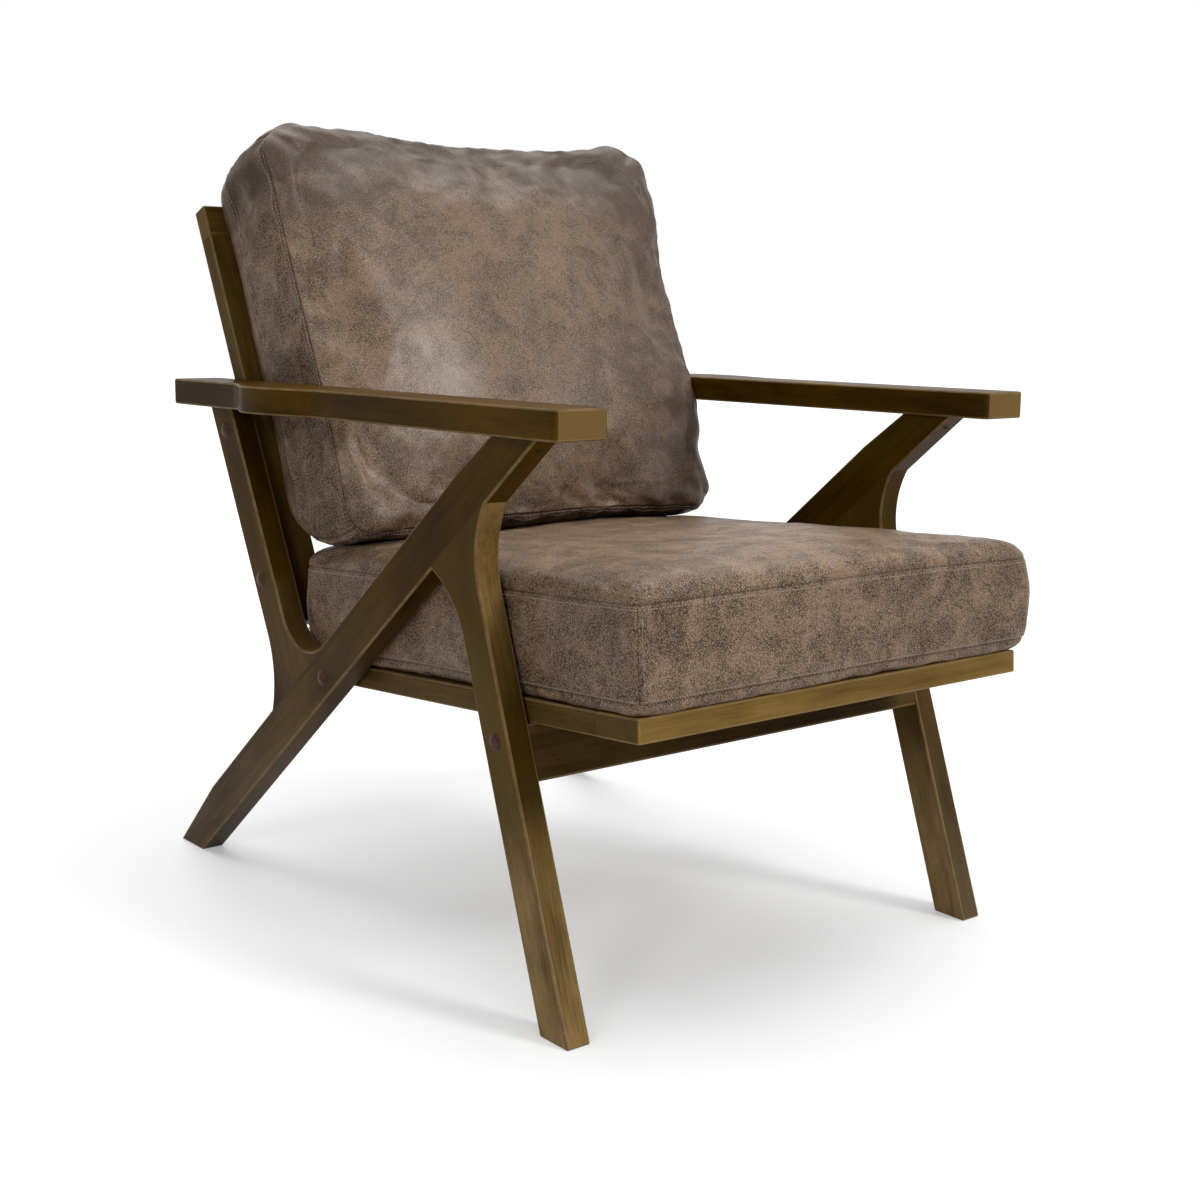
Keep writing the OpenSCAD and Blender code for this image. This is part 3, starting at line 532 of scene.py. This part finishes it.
# each straight board: the side whose outline it is cut from, its grain and its tone; on the armrests a span
# along Y over which their tails are darkened as painted shade
boards = [
    {"node": "armrest_left", "cut": (0, 0, 1), "grain": (0, 1, 0), "tone": "umber", "paintedShadeSpan": (0.22, 0.3)},
    {"node": "armrest_right", "cut": (0, 0, 1), "grain": (0, 1, 0), "tone": "umber", "paintedShadeSpan": (0.22, 0.3)},
    {"node": "front_stretcher", "cut": (1, 0, 0), "grain": (1, 0, 0), "tone": "umber"},
    # the front rail's lighter tone is painted light, as its front faces the light
    {"node": "seat_front_rail", "cut": (1, 0, 0), "grain": (1, 0, 0), "tone": "paintedLitGolden"},
    {"node": "seat_rear_rail", "cut": (1, 0, 0), "grain": (1, 0, 0), "tone": "umber"},
    {"node": "seat_side_rail_left", "cut": -seatBack, "grain": seatBack, "tone": "umber"},
    {"node": "seat_side_rail_right", "cut": -seatBack, "grain": seatBack, "tone": "umber"},
    {"node": "back_stile_left", "cut": backUp, "grain": backUp, "tone": "olive"},
    {"node": "back_stile_right", "cut": backUp, "grain": backUp, "tone": "olive"},
    {"node": "back_top_rail", "cut": (1, 0, 0), "grain": (1, 0, 0), "tone": "olive"},
    {"node": "back_bottom_rail", "cut": (1, 0, 0), "grain": (1, 0, 0), "tone": "umber"},
]
for number, board in enumerate(boards):
    normal, depth, ring = flatSide(board["node"], board["cut"])
    finishes = [timber(board["tone"], board["grain"], number + 3, r, board.get("paintedShadeSpan")) for r in (0.0, 0.3)]
    roundness = boardFinish["boardRound"]
    buildBoard("board_" + board["node"], [board["node"]], [ring], normal, depth, finishes, roundness)
print("stage: boards cut and eased")


def dressNode(nodeName, material, easing=0.0):
    node = frame["nodes"][nodeName]
    node.material_slots[0].link = "OBJECT"
    node.material_slots[0].material = material
    if easing:
        weld = node.modifiers.new("weld", "WELD")
        weld.merge_threshold = 0.01 * mm
        eased = node.modifiers.new("arrises", "BEVEL")
        eased.width = easing
        eased.segments = 2
        eased.angle_limit = math.radians(40)


for nodeName in ("seat_slats", "back_slats"):
    dressNode(nodeName, timber("plain", (1, 0, 0), 20), 1.5 * mm)
# the side frames' dowels are stained with them, as one just breaks the slanting front of the strut
dressNode("side_frame_dowels", timber("umber", (0, 0, 1), 30))
for nodeName, direction in (("seat_frame_dowels", seatBack), ("back_frame_dowels", backUp)):
    dressNode(nodeName, timber("beech", direction, 30))
dressNode("bolt_caps", makeCapPlastic())
steel = makeSteel()
for nodeName in ("side_bolts", "threaded_inserts", "frame_spacers"):
    dressNode(nodeName, steel)
print("stage: fittings dressed")


def smoothstep(value, low, high):
    share = np.clip((value - low) / (high - low), 0, 1)
    return share * share * (3 - 2 * share)


# how far the first columns beside a corner seam lie from it
besideSeam = (0.0, 2.5 * mm, 6 * mm, 11 * mm)


# columns of a cushion across one direction, as shares of its half size
def columns(half, step):
    inner = half - besideSeam[-1]
    count = max(2, int(round(2 * inner / step)))
    middle = [-inner + 2 * inner * i / count for i in range(count + 1)]
    close = [half - gap for gap in besideSeam[:-1]]
    return np.array([-c for c in close] + middle + close[::-1]) / half


# where a point of the square (-1..1) lies on a cushion's plan with round corners and drawn-in sides
def planPoint(u, v, shape, inset):
    halfX, halfY, draw = shape["halfX"] - inset, shape["halfY"] - inset, shape["draw"]
    radius = np.where(np.asarray(v) < 0, shape["lowRadius"], shape["cornerRadius"])
    flatX, flatY = halfX - radius, halfY - radius
    reach = np.maximum(np.maximum(np.abs(u), np.abs(v)), 1e-9)
    boxX, boxY = np.abs(u) / reach * halfX, np.abs(v) / reach * halfY
    turnX, turnY = np.clip((boxX - flatX) / radius, 0, 1), np.clip((boxY - flatY) / radius, 0, 1)
    angleX, angleY = math.pi / 2 - turnX * math.pi / 4, turnY * math.pi / 4
    sideX = flatX + radius * np.cos(angleY) - draw * (1 - (np.minimum(boxY, flatY) / flatY) ** 2)
    sideY = np.where(turnY > 0, flatY + radius * np.sin(angleY), boxY)
    endX = np.where(turnX > 0, flatX + radius * np.cos(angleX), boxX)
    endY = flatY + radius * np.sin(angleX) - draw * (1 - (np.minimum(boxX, flatX) / flatX) ** 2)
    onSide = np.abs(u) >= np.abs(v)
    ringX, ringY = np.where(onSide, sideX, endX), np.where(onSide, sideY, endY)
    share = reach ** 3
    return u * halfX + np.sign(u) * (ringX - boxX) * share, v * halfY + np.sign(v) * (ringY - boxY) * share


# rows down a cushion's side, each with its inset from the widest outline and its height
def sideRows(shape):
    roll, lowSeam, highSeam, height = shape["roll"], shape["lowSeam"], shape["highSeam"], shape["height"]
    rows = []
    for angle in (math.radians(a) for a in (90, 76, 62, 48, 34, 22, 12, 5)):
        rows.append((roll * (1 - math.cos(angle)), highSeam + (height - highSeam) * math.sin(angle)))
    span = highSeam - lowSeam
    close = [0, 2.5 * mm, 5 * mm, 8 * mm, 11 * mm, 15 * mm]
    inner = span - 2 * close[-1]
    count = int(round(inner / shape["step"]))
    spread = [close[-1] + inner * i / count for i in range(1, count)]
    for drop in close + spread + [span - gap for gap in reversed(close)]:
        rows.append((-shape["swell"] * math.sin(math.pi * drop / span) ** 0.8, highSeam - drop))
    for angle in (math.radians(a) for a in (75, 55, 35, 18, 0)):
        rows.append((shape["lowRoll"] * (1 - math.sin(angle)), lowSeam * (1 - math.cos(angle))))
    return rows


# a box cushion as one closed sheet of quads: top panel, side rows and bottom panel share their outlines
def cushionSheet(shape):
    columnsX, columnsY = (columns(shape[half], shape["step"]) for half in ("halfX", "halfY"))
    countX, countY = len(columnsX), len(columnsY)
    gridU, gridV = (g.ravel() for g in np.meshgrid(columnsX, columnsY, indexing="ij"))
    grid = np.arange(countX * countY).reshape(countX, countY)
    rim = [*grid[:, 0], *grid[-1, 1:], *grid[-2::-1, -1], *grid[0, -2:0:-1]]
    rim = [int(i) for i in rim]
    rows = sideRows(shape)
    edgeX, edgeY = planPoint(gridU, gridV, shape, shape["roll"])
    halfX, halfY = shape["halfX"] - shape["roll"], shape["halfY"] - shape["roll"]
    crownX, crownY = (1 - np.minimum(1, np.abs(e) / h) ** 2.6 for e, h in ((edgeX, halfX), (edgeY, halfY)))
    top = np.stack([edgeX, edgeY, shape["height"] + shape["crown"] * crownX * crownY], 1)
    lowX, lowY = planPoint(gridU, gridV, shape, shape["lowRoll"])
    bottom = np.stack([lowX, lowY, np.zeros(len(lowX))], 1)
    points, loops = [top], [rim]
    at = len(top)
    for inset, z in rows[1:-1]:
        x, y = planPoint(gridU[rim], gridV[rim], shape, inset)
        points.append(np.stack([x, y, np.full(len(rim), z)], 1))
        loops.append(list(range(at, at + len(rim))))
        at += len(rim)
    points.append(bottom)
    loops.append([at + i for i in rim])
    faces = []
    for i in range(countX - 1):
        for j in range(countY - 1):
            quad = [int(grid[c]) for c in ((i, j), (i + 1, j), (i + 1, j + 1), (i, j + 1))]
            faces.append(quad)
            faces.append([at + q for q in reversed(quad)])
    for upper, lower in zip(loops, loops[1:]):
        for here in range(len(rim)):
            ahead = (here + 1) % len(rim)
            faces.append([upper[here], lower[here], lower[ahead], upper[ahead]])
    corners = [0, countX - 1, countX + countY - 2, 2 * countX + countY - 3]
    return np.concatenate(points), faces, loops, rows, corners, len(top)


def makeMesh(name, points, faces):
    mesh = bpy.data.meshes.new(name)
    mesh.from_pydata([tuple(p) for p in points], [], faces)
    mesh.polygons.foreach_set("use_smooth", [True] * len(mesh.polygons))
    mesh.update()
    piece = bpy.data.objects.new(name, mesh)
    bpy.context.scene.collection.objects.link(piece)
    return piece


# the places ("co") or the normals ("normal") of a mesh's points
def pointsOf(mesh, what="co"):
    values = np.empty(len(mesh.vertices) * 3)
    mesh.vertices.foreach_get(what, values)
    return values.reshape(-1, 3)


def setPoints(piece, points):
    piece.data.vertices.foreach_set("co", np.asarray(points, float).ravel())
    piece.data.update()


# the cover swells over its foam while its seams are held, as a cloth simulation; held gives how firmly
# each held point stays
def swellCover(piece, held, cloth):
    group = piece.vertex_groups.new(name="held")
    for weight in sorted(set(held.values())):
        group.add([i for i, w in held.items() if w == weight], weight, "REPLACE")
    start = pointsOf(piece.data)
    modifier = piece.modifiers.new("swell", "CLOTH")
    settings = modifier.settings
    settings.quality = 6
    settings.mass = cloth["mass"]
    settings.tension_stiffness = settings.compression_stiffness = cloth["stretch"]
    settings.shear_stiffness = cloth["shear"]
    settings.bending_stiffness = cloth["bending"]
    settings.tension_damping = settings.compression_damping = settings.shear_damping = 25
    settings.bending_damping = 5
    settings.use_pressure = True
    settings.uniform_pressure_force = cloth["pressure"]
    settings.shrink_min = cloth["shrink"]
    settings.effector_weights.gravity = 0
    settings.vertex_group_mass = "held"
    settings.pin_stiffness = 1.0
    modifier.collision_settings.use_collision = False
    modifier.point_cache.frame_end = cloth["frames"]
    for number in range(1, cloth["frames"] + 1):
        bpy.context.scene.frame_set(number)
    swollen = piece.evaluated_get(bpy.context.evaluated_depsgraph_get())
    moved = pointsOf(swollen.data) - start
    piece.modifiers.remove(modifier)
    piece.vertex_groups.clear()
    bpy.context.scene.frame_set(1)
    far = np.linalg.norm(moved, axis=1)
    moved *= (np.minimum(far, cloth["cap"]) / np.maximum(far, 1e-9))[:, None]
    setPoints(piece, start + moved)
    print("stage: %s swollen, up to %.1f mm" % (piece.name, far.max() / mm))


# soft noise of a point set, about -0.5 to 0.5
def softNoise(points, size, seed):
    shift = Vector((seed * 7.3, seed * 3.1, seed * 5.7))
    return np.array([noise.noise(Vector(p) / size + shift) for p in points])


# the sewing thread's short stitches: each ring has its share of the length, its size and its height
thread = {
    "pitch": 4.6 * mm, "length": 3.7 * mm, "radius": 0.55 * mm, "sides": 6,
    "rings": [(0.0, 0.45, -0.7), (0.16, 0.9, 0.0), (0.5, 1.0, 0.3), (0.84, 0.9, 0.0), (1.0, 0.45, -0.7)],
}


# adds stitches along a line of points that lie on the cover
def stitchLine(line, normals, closed, points, faces):
    line, normals = np.asarray(line), np.asarray(normals)
    if closed:
        line, normals = np.vstack([line, line[:1]]), np.vstack([normals, normals[:1]])
    reach = np.concatenate([[0], np.cumsum(np.linalg.norm(np.diff(line, axis=0), axis=1))])
    count = int(reach[-1] / thread["pitch"])
    rings, sides, radius = thread["rings"], thread["sides"], thread["radius"]
    for k in range(count):
        middle = (k + 0.5) * thread["pitch"]
        half = thread["length"] / 2
        ends = np.array([[np.interp(middle + h, reach, line[:, c]) for c in range(3)] for h in (-half, half)])
        out = np.array([np.interp(middle, reach, normals[:, c]) for c in range(3)])
        out /= max(np.linalg.norm(out), 1e-9)
        along = ends[1] - ends[0]
        along /= max(np.linalg.norm(along), 1e-9)
        across = np.cross(out, along)
        base = len(points)
        for share, size, height in rings:
            centre = ends[0] + (ends[1] - ends[0]) * share + out * height * radius
            for s in range(sides):
                turn = 2 * math.pi * s / sides
                points.append(centre + radius * size * (math.cos(turn) * across + math.sin(turn) * out))
        loops = [[base + q * sides + s for s in range(sides)] for q in range(len(rings))]
        for lower, upper in zip(loops, loops[1:]):
            for s in range(sides):
                t = (s + 1) % sides
                faces.append([lower[s], lower[t], upper[t], upper[s]])
        faces.append(loops[0][::-1])
        faces.append(loops[-1])


# both covers: how much they pucker along the seams and wave over their panels
cover = {"pucker": 2.4 * mm, "puckerSize": 26 * mm, "wave": 2.5 * mm, "waveSize": 110 * mm}

seatShape = {
    "name": "seat_cushion", "body": "seat_cushion", "nodes": ("seat_cushion_cover", "seat_cushion_foam"),
    "lowSeam": 13 * mm, "highSeam": 108 * mm, "height": 130 * mm, "step": 9 * mm,
    "roll": 20 * mm, "lowRoll": 9 * mm, "cornerRadius": 22 * mm, "lowRadius": 16 * mm,
    "crown": 7 * mm, "draw": 3 * mm, "swell": 3 * mm, "settle": 0.0, "fill": 0.85, "seed": 3,
    "seamDepth": 1.3 * mm, "lip": 0.2 * mm,
    "highStitches": [5 * mm], "lowStitches": [2.5 * mm], "creases": [],
    "shade": {"base": 0.0, "top": 0.0, "right": 0.0, "side": 0.0}, "polish": 0.0,
    "hideShift": (0.0, 0.0, 0.0),
    "panel": {"contrast": 1.05, "gloss": 0.16}, "boxing": {"contrast": 1.05, "gloss": 0.16},
    "cloth": {"pressure": 0.5, "stretch": 40, "shear": 15, "bending": 10, "mass": 0.4, "shrink": 0.0,
              "cap": 9 * mm, "frames": 18},
}
# each crease of the back's top panel: from and to as shares of the half sizes, and its depth
backShape = {
    "name": "back_cushion", "body": "back_cushion", "nodes": ("back_cushion_cover", "back_cushion_foam"),
    "lowSeam": 40 * mm, "highSeam": 146 * mm, "height": 160 * mm, "step": 9 * mm,
    "roll": 24 * mm, "lowRoll": 24 * mm, "cornerRadius": 44 * mm, "lowRadius": 26 * mm,
    "crown": 17 * mm, "draw": 7 * mm, "swell": 2.5 * mm, "settle": 21.13, "fill": 0.6, "seed": 11,
    "seamDepth": 1.5 * mm, "lip": 0.8 * mm,
    "highStitches": [2.5 * mm, 8 * mm], "lowStitches": [2.5 * mm, 8 * mm],
    "creases": [
        (-0.97, 0.97, -0.7, 0.91, 5 * mm), (-0.97, 0.93, -0.82, 0.78, 3 * mm),
        (-0.9, 1.0, -0.62, 1.0, 3 * mm), (0.97, -0.97, 0.76, -0.84, 3 * mm),
        (0.96, -0.9, 0.86, -0.7, 2 * mm), (0.97, 0.95, 0.8, 0.84, 2 * mm)],
    # the back's hide is painted in shade all over and towards its top and right, and its sides a little
    # lighter
    "shade": {"base": 0.16, "top": 0.6, "right": 0.34, "side": -0.06}, "polish": 1.0,
    "hideShift": (0.05, 0.72, 0.9),
    "panel": {"contrast": 0.92, "gloss": 0.24}, "boxing": {"contrast": 1.15, "gloss": 0.1},
    "cloth": {"pressure": 0.6, "stretch": 30, "shear": 10, "bending": 6, "mass": 0.4, "shrink": -0.02,
              "cap": 16 * mm, "frames": 18},
}


# how deep the creases run that leave the corners of the top panel, with a low swell on both sides of each
def creaseDepth(points, shape):
    depth = np.zeros(len(points))
    halves = np.array([shape["halfX"], shape["halfY"]])
    for fromX, fromY, toX, toY, deep in shape["creases"]:
        start = np.array([fromX, fromY]) * halves
        run = np.array([toX, toY]) * halves - start
        share = np.clip((points[:, :2] - start) @ run / (run @ run), 0, 1)
        away = np.linalg.norm(points[:, :2] - start - share[:, None] * run, axis=1)
        fold = np.exp(-(away / (7 * mm)) ** 2) - 0.45 * np.exp(-((away - 15 * mm) / (8 * mm)) ** 2)
        depth += deep * (1 - share) ** 0.7 * smoothstep(share, -0.3, 0.15) * fold
    return depth * smoothstep(points[:, 2], shape["highSeam"] - 25 * mm, shape["highSeam"] + 4 * mm)


# painted shade: how much darker the hide is painted overall, towards the top, the right and on the sides
def hidePaintedShade(points, shape):
    shade = shape["shade"]
    up, across = points[:, 1] / shape["halfY"], points[:, 0] / shape["halfX"]
    onSide = smoothstep(shape["highSeam"] - points[:, 2], 0, 12 * mm)
    ahead = shade["top"] * smoothstep(up, 0.3, 1.0) + shade["right"] * smoothstep(across, 0.25, 0.9)
    return shade["base"] + ahead + shade["side"] * onSide


# how far the hide is polished where it is leant on, a little left of the middle and below it
def hidePolish(points, shape):
    away = np.hypot(points[:, 0] / shape["halfX"] + 0.15, points[:, 1] / shape["halfY"] + 0.15)
    return shape["polish"] * (1 - smoothstep(away, 0.2, 0.75))


# a cushion's own axes and the middle of its resting side, from its CAD cover; shape gets its half sizes
def measureCushion(shape, along, out):
    axes = np.array([(1, 0, 0), along, out])
    local = pointsOf(frame["nodes"][shape["nodes"][0]].data) @ axes.T
    restPlane = local[:, 2].min()
    flat = local[local[:, 2] < restPlane + closeness["flat"]]
    low, high = flat.min(0), flat.max(0)
    shape["halfX"] = (high[0] - low[0]) / 2 + shape["roll"]
    shape["halfY"] = (high[1] - low[1]) / 2 + shape["roll"]
    return axes, np.array([0, (low[1] + high[1]) / 2, restPlane])


armRoom = {"level": 604.5 * mm, "half": 21 * mm, "inner": 283 * mm, "fade": 35 * mm}


# at the height of the arms a cushion gives way to them, softly above and below
def besideArms(world):
    offLevel = np.abs(world[:, 2] - armRoom["level"]) - armRoom["half"]
    past = np.maximum(np.abs(world[:, 0]) - armRoom["inner"], 0)
    world[:, 0] -= np.sign(world[:, 0]) * past * (1 - smoothstep(offLevel, 0, armRoom["fade"]))
    return world


# the lower end of a cushion flattens where it would sink into the one below
def settleOn(below, world, up, points, shape):
    surface = BVHTree.FromObject(below, bpy.context.evaluated_depsgraph_get())
    gap, reach = 0.6 * mm, 60 * mm
    for i in np.nonzero(points[:, 1] < -shape["halfY"] + reach)[0]:
        hit = surface.ray_cast(Vector(world[i]) + up * reach, -up, reach + gap)[0]
        if hit is not None:
            world[i] = np.array(hit + up * gap)
    return world


# how firmly the swelling cover is held: its underside and both seams fully, the rows beside the top seam
# and the corners less
def heldPoints(loops, corners, highRow, lowRow, bottomPoints):
    held = {i: 1.0 for i in bottomPoints}
    for loop in loops[lowRow:-1]:
        held.update({i: 1.0 for i in loop})
    for row, weight in ((highRow - 1, 0.5), (highRow, 1.0), (highRow + 1, 0.8)):
        held.update({i: weight for i in loops[row]})
    for c in corners:
        held.update({loop[c]: 0.85 for loop in loops[highRow:lowRow]})
    return held


# how far each point lies from the nearest seam, in steps of the rows and columns beside it
def seamDistance(size, rowHeights, loops, corners, highRow, lowRow, shape):
    gaps = np.full(size, 1.0)
    for row, loop in enumerate(loops):
        gap = min(abs(rowHeights[row] - shape["highSeam"]), abs(rowHeights[row] - shape["lowSeam"]))
        if row < highRow:
            gap = (highRow - row) * 3 * mm
        gaps[loop] = np.minimum(gaps[loop], gap)
        if highRow <= row <= lowRow:
            for c in corners:
                for offset in range(-3, 4):
                    vertex = loop[(c + offset) % len(loop)]
                    gaps[vertex] = min(gaps[vertex], besideSeam[abs(offset)])
    return gaps


# the cover's relief: seams drawn in with a lip beside each, puckers along them, waves and creases
def coverRelief(points, seamGap, band, bottomStart, shape):
    relief = shape["lip"] * band - shape["seamDepth"] * (1 - smoothstep(seamGap, 0.0, 2.4 * mm))
    pucker = softNoise(points, cover["puckerSize"], shape["seed"])
    nearSeam = (1 - smoothstep(seamGap, 4 * mm, 45 * mm)) * smoothstep(seamGap, 0.0, 8 * mm)
    relief += cover["pucker"] * pucker * nearSeam
    wave = softNoise(points, cover["waveSize"], shape["seed"] + 1)
    wave[bottomStart:] = 0
    return relief + cover["wave"] * wave - creaseDepth(points, shape)


def sewStitches(shape, surface, outward, loops, corners, rowHeights, highRow, lowRow):
    points, faces = [], []
    heights = [shape["highSeam"] - drop for drop in shape["highStitches"]]
    heights += [shape["lowSeam"] + above for above in shape["lowStitches"]]
    for height in heights:
        loop = loops[int(np.argmin(np.abs(rowHeights - height)))]
        stitchLine(surface[loop], outward[loop], True, points, faces)
    for c in corners:
        column = [loop[(c + 2) % len(loop)] for loop in loops[highRow + 3:lowRow - 2]]
        stitchLine(surface[column], outward[column], False, points, faces)
    stitches = makeMesh(shape["name"] + "_stitching", points, faces)
    stitches.data.materials.append(threadMaterial)
    return stitches


def shapeCushion(shape, along, out, deform, restsOn=None):
    axes, middle = measureCushion(shape, along, out)
    points, faces, loops, rows, corners, panelSize = cushionSheet(shape)
    piece = makeMesh(shape["name"], points, faces)
    for part in ("panel", "boxing"):
        leather = makeLeather(shape["name"] + "_" + part, shape["hideShift"], **shape[part])
        piece.data.materials.append(leather)
    rowHeights = np.array([z for _, z in rows])
    highRow = int(np.argmin(np.abs(rowHeights - shape["highSeam"])))
    lowRow = int(np.argmin(np.abs(rowHeights - shape["lowSeam"])))
    around = len(loops[0])
    rowStart = len(faces) - (len(loops) - 1) * around
    for face in piece.data.polygons[rowStart + highRow * around:rowStart + lowRow * around]:
        face.material_index = 1
    bottomStart = len(points) - panelSize
    held = heldPoints(loops, corners, highRow, lowRow, range(bottomStart, len(points)))
    swellCover(piece, held, shape["cloth"])
    points, normals = pointsOf(piece.data), pointsOf(piece.data, "normal")
    seamGap = seamDistance(len(points), rowHeights, loops, corners, highRow, lowRow, shape)
    band = smoothstep(seamGap, 1.0 * mm, 3 * mm) * (1 - smoothstep(seamGap, 8 * mm, 12 * mm))
    points = points + normals * coverRelief(points, seamGap, band, bottomStart, shape)[:, None]
    # the points carry the hide's painted shade along with its wear, seams and polish
    wearAndPaintedShade = {"wear": 0.3 * band, "seam": seamGap < closeness["flat"],
            "shade": hidePaintedShade(points, shape), "polish": hidePolish(points, shape)}
    slope = math.tan(math.radians(shape["settle"]))
    points[:, 1] += slope * points[:, 2] * (points[:, 1] - shape["halfY"]) / (2 * shape["halfY"])
    points = deform(points, shape)
    world = besideArms((points + middle) @ axes)
    if restsOn:
        world = settleOn(restsOn, world, along, points, shape)
    setPoints(piece, world)
    for label, values in wearAndPaintedShade.items():
        attribute = piece.data.attributes.new(label, "FLOAT", "POINT")
        attribute.data.foreach_set("value", values.astype(np.float32))
    finer = piece.modifiers.new("finer", "SUBSURF")
    finer.levels = finer.render_levels = 1
    smoothMesh = bpy.data.meshes.new_from_object(piece.evaluated_get(bpy.context.evaluated_depsgraph_get()))
    piece.modifiers.remove(finer)
    piece.data = smoothMesh
    surface, outward = pointsOf(smoothMesh), pointsOf(smoothMesh, "normal")
    stitches = sewStitches(shape, surface, outward, loops, corners, rowHeights, highRow, lowRow)
    for made in (piece, stitches):
        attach(made, shape["body"])
    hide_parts(*shape["nodes"])
    return piece


seatSet = {"right": 21 * mm, "left": 3 * mm, "lower": 4 * mm}


# ahead of the legs the seat cushion is free to bulge, further on its right, where its top is lower
def settleSeat(points, shape):
    ahead = 1 - smoothstep(points[:, 1], -0.62 * shape["halfY"], -0.48 * shape["halfY"])
    outer = np.abs(points[:, 0]) / shape["halfX"]
    push = np.where(points[:, 0] > 0, seatSet["right"], seatSet["left"]) * outer ** 6 * ahead
    points[:, 0] += np.sign(points[:, 0]) * push * smoothstep(points[:, 2], -25 * mm, 25 * mm)
    onRight = smoothstep(points[:, 0], 0.3 * shape["halfX"], shape["halfX"]) * ahead
    points[:, 2] -= seatSet["lower"] * onRight * smoothstep(points[:, 2], 60 * mm, 120 * mm)
    return points


backSet = {"right": 13 * mm, "rightTop": 17 * mm, "thicker": 23 * mm, "lean": 7 * mm,
           "top": 4 * mm, "dip": 8 * mm, "topRight": 3 * mm, "lowEnd": 24 * mm}


# the back cushion stands thicker along its right side, dips along its top and bulges down onto the seat
def settleBack(points, shape):
    up, across = points[:, 1] / shape["halfY"], points[:, 0] / shape["halfX"]
    front = np.clip(points[:, 2] / shape["highSeam"], 0, 1)
    right = np.clip(across, 0, 1) ** 3
    middleHeight = 1 - np.clip(np.abs(up), 0, 1) ** 2
    bulge = backSet["right"] * middleHeight + backSet["rightTop"] * smoothstep(up, 0.1, 0.6)
    points[:, 0] += right * bulge + (1 - right) * backSet["lean"] * smoothstep(up, 0.05, 0.8)
    points[:, 2] += right * backSet["thicker"] * front * smoothstep(up, -1.0, -0.6)
    dip = np.clip(1 - ((across - 0.4) / 0.75) ** 2, 0, 1)
    sink = backSet["top"] + backSet["dip"] * dip + backSet["topRight"] * right
    points[:, 1] -= sink * smoothstep(up, 0.4, 1.0)
    lowEnd = smoothstep(-up, 0.7, 1.0) * (1 - 0.35 * np.abs(across) ** 6)
    points[:, 1] -= backSet["lowEnd"] * np.sin(math.pi * front) ** 0.8 * lowEnd
    return points


threadMaterial = makeThread()
seatCushion = shapeCushion(seatShape, seatBack, seatUp, settleSeat)
shapeCushion(backShape, backUp, backOut, settleBack, seatCushion)
print("stage: cushions sewn")


# light: a soft overhead, one key from the camera's right and a fill from its left; the camera and the
# reflections see a white backdrop, and the ground keeps the shadow
lights = [
    {"name": "overhead", "towards": (0.13, 0.2, 1.0), "strength": 3.1, "angle": 70},
    {"name": "key", "towards": (0.36, -0.76, 0.56), "strength": 1.6, "angle": 16},
    {"name": "fill", "towards": (-1.0, -0.5, 0.45), "strength": 0.7, "angle": 15},
]
studio = {"ambient": 0.22, "floorColour": 0.6, "floorLift": 0.32}


def seesBackdrop(tree):
    path = addNode(tree, "ShaderNodeLightPath").outputs
    total = calc(tree, "ADD", path["Is Camera Ray"], path["Is Glossy Ray"])
    return calc(tree, "MINIMUM", calc(tree, "ADD", total, path["Is Transmission Ray"]), 1.0)


def lightStudio():
    for lamp in lights:
        data = bpy.data.lights.new(lamp["name"], "SUN")
        data.energy = lamp["strength"]
        data.angle = math.radians(lamp["angle"])
        light = bpy.data.objects.new(lamp["name"], data)
        light.rotation_mode = "QUATERNION"
        light.rotation_quaternion = Vector(lamp["towards"]).to_track_quat("Z", "Y")
        bpy.context.scene.collection.objects.link(light)
    world = bpy.data.worlds.new("studio")
    bpy.context.scene.world = world
    world.use_nodes = True
    tree = world.node_tree
    strength = ease(tree, seesBackdrop(tree), 0.0, 1.0, studio["ambient"], 1.0)
    tree.links.new(strength, tree.nodes["Background"].inputs["Strength"])
    tree.nodes["Background"].inputs["Color"].default_value = (1, 1, 1, 1)
    floor = makeMesh("floor", [(-9, -9, 0), (9, -9, 0), (9, 9, 0), (-9, 9, 0)], [[0, 1, 2, 3]])
    material, tree, shader = startMaterial("white_ground", Roughness=1.0, Specular_IOR_Level=0.0)
    shader.inputs["Base Color"].default_value = (*[studio["floorColour"]] * 3, 1)
    shader.inputs["Emission Color"].default_value = (1, 1, 1, 1)
    lift = calc(tree, "MULTIPLY", seesBackdrop(tree), studio["floorLift"])
    tree.links.new(lift, shader.inputs["Emission Strength"])
    floor.data.materials.append(material)


lightStudio()
bpy.context.scene.view_settings.view_transform = "Standard"
print("stage: studio lit")
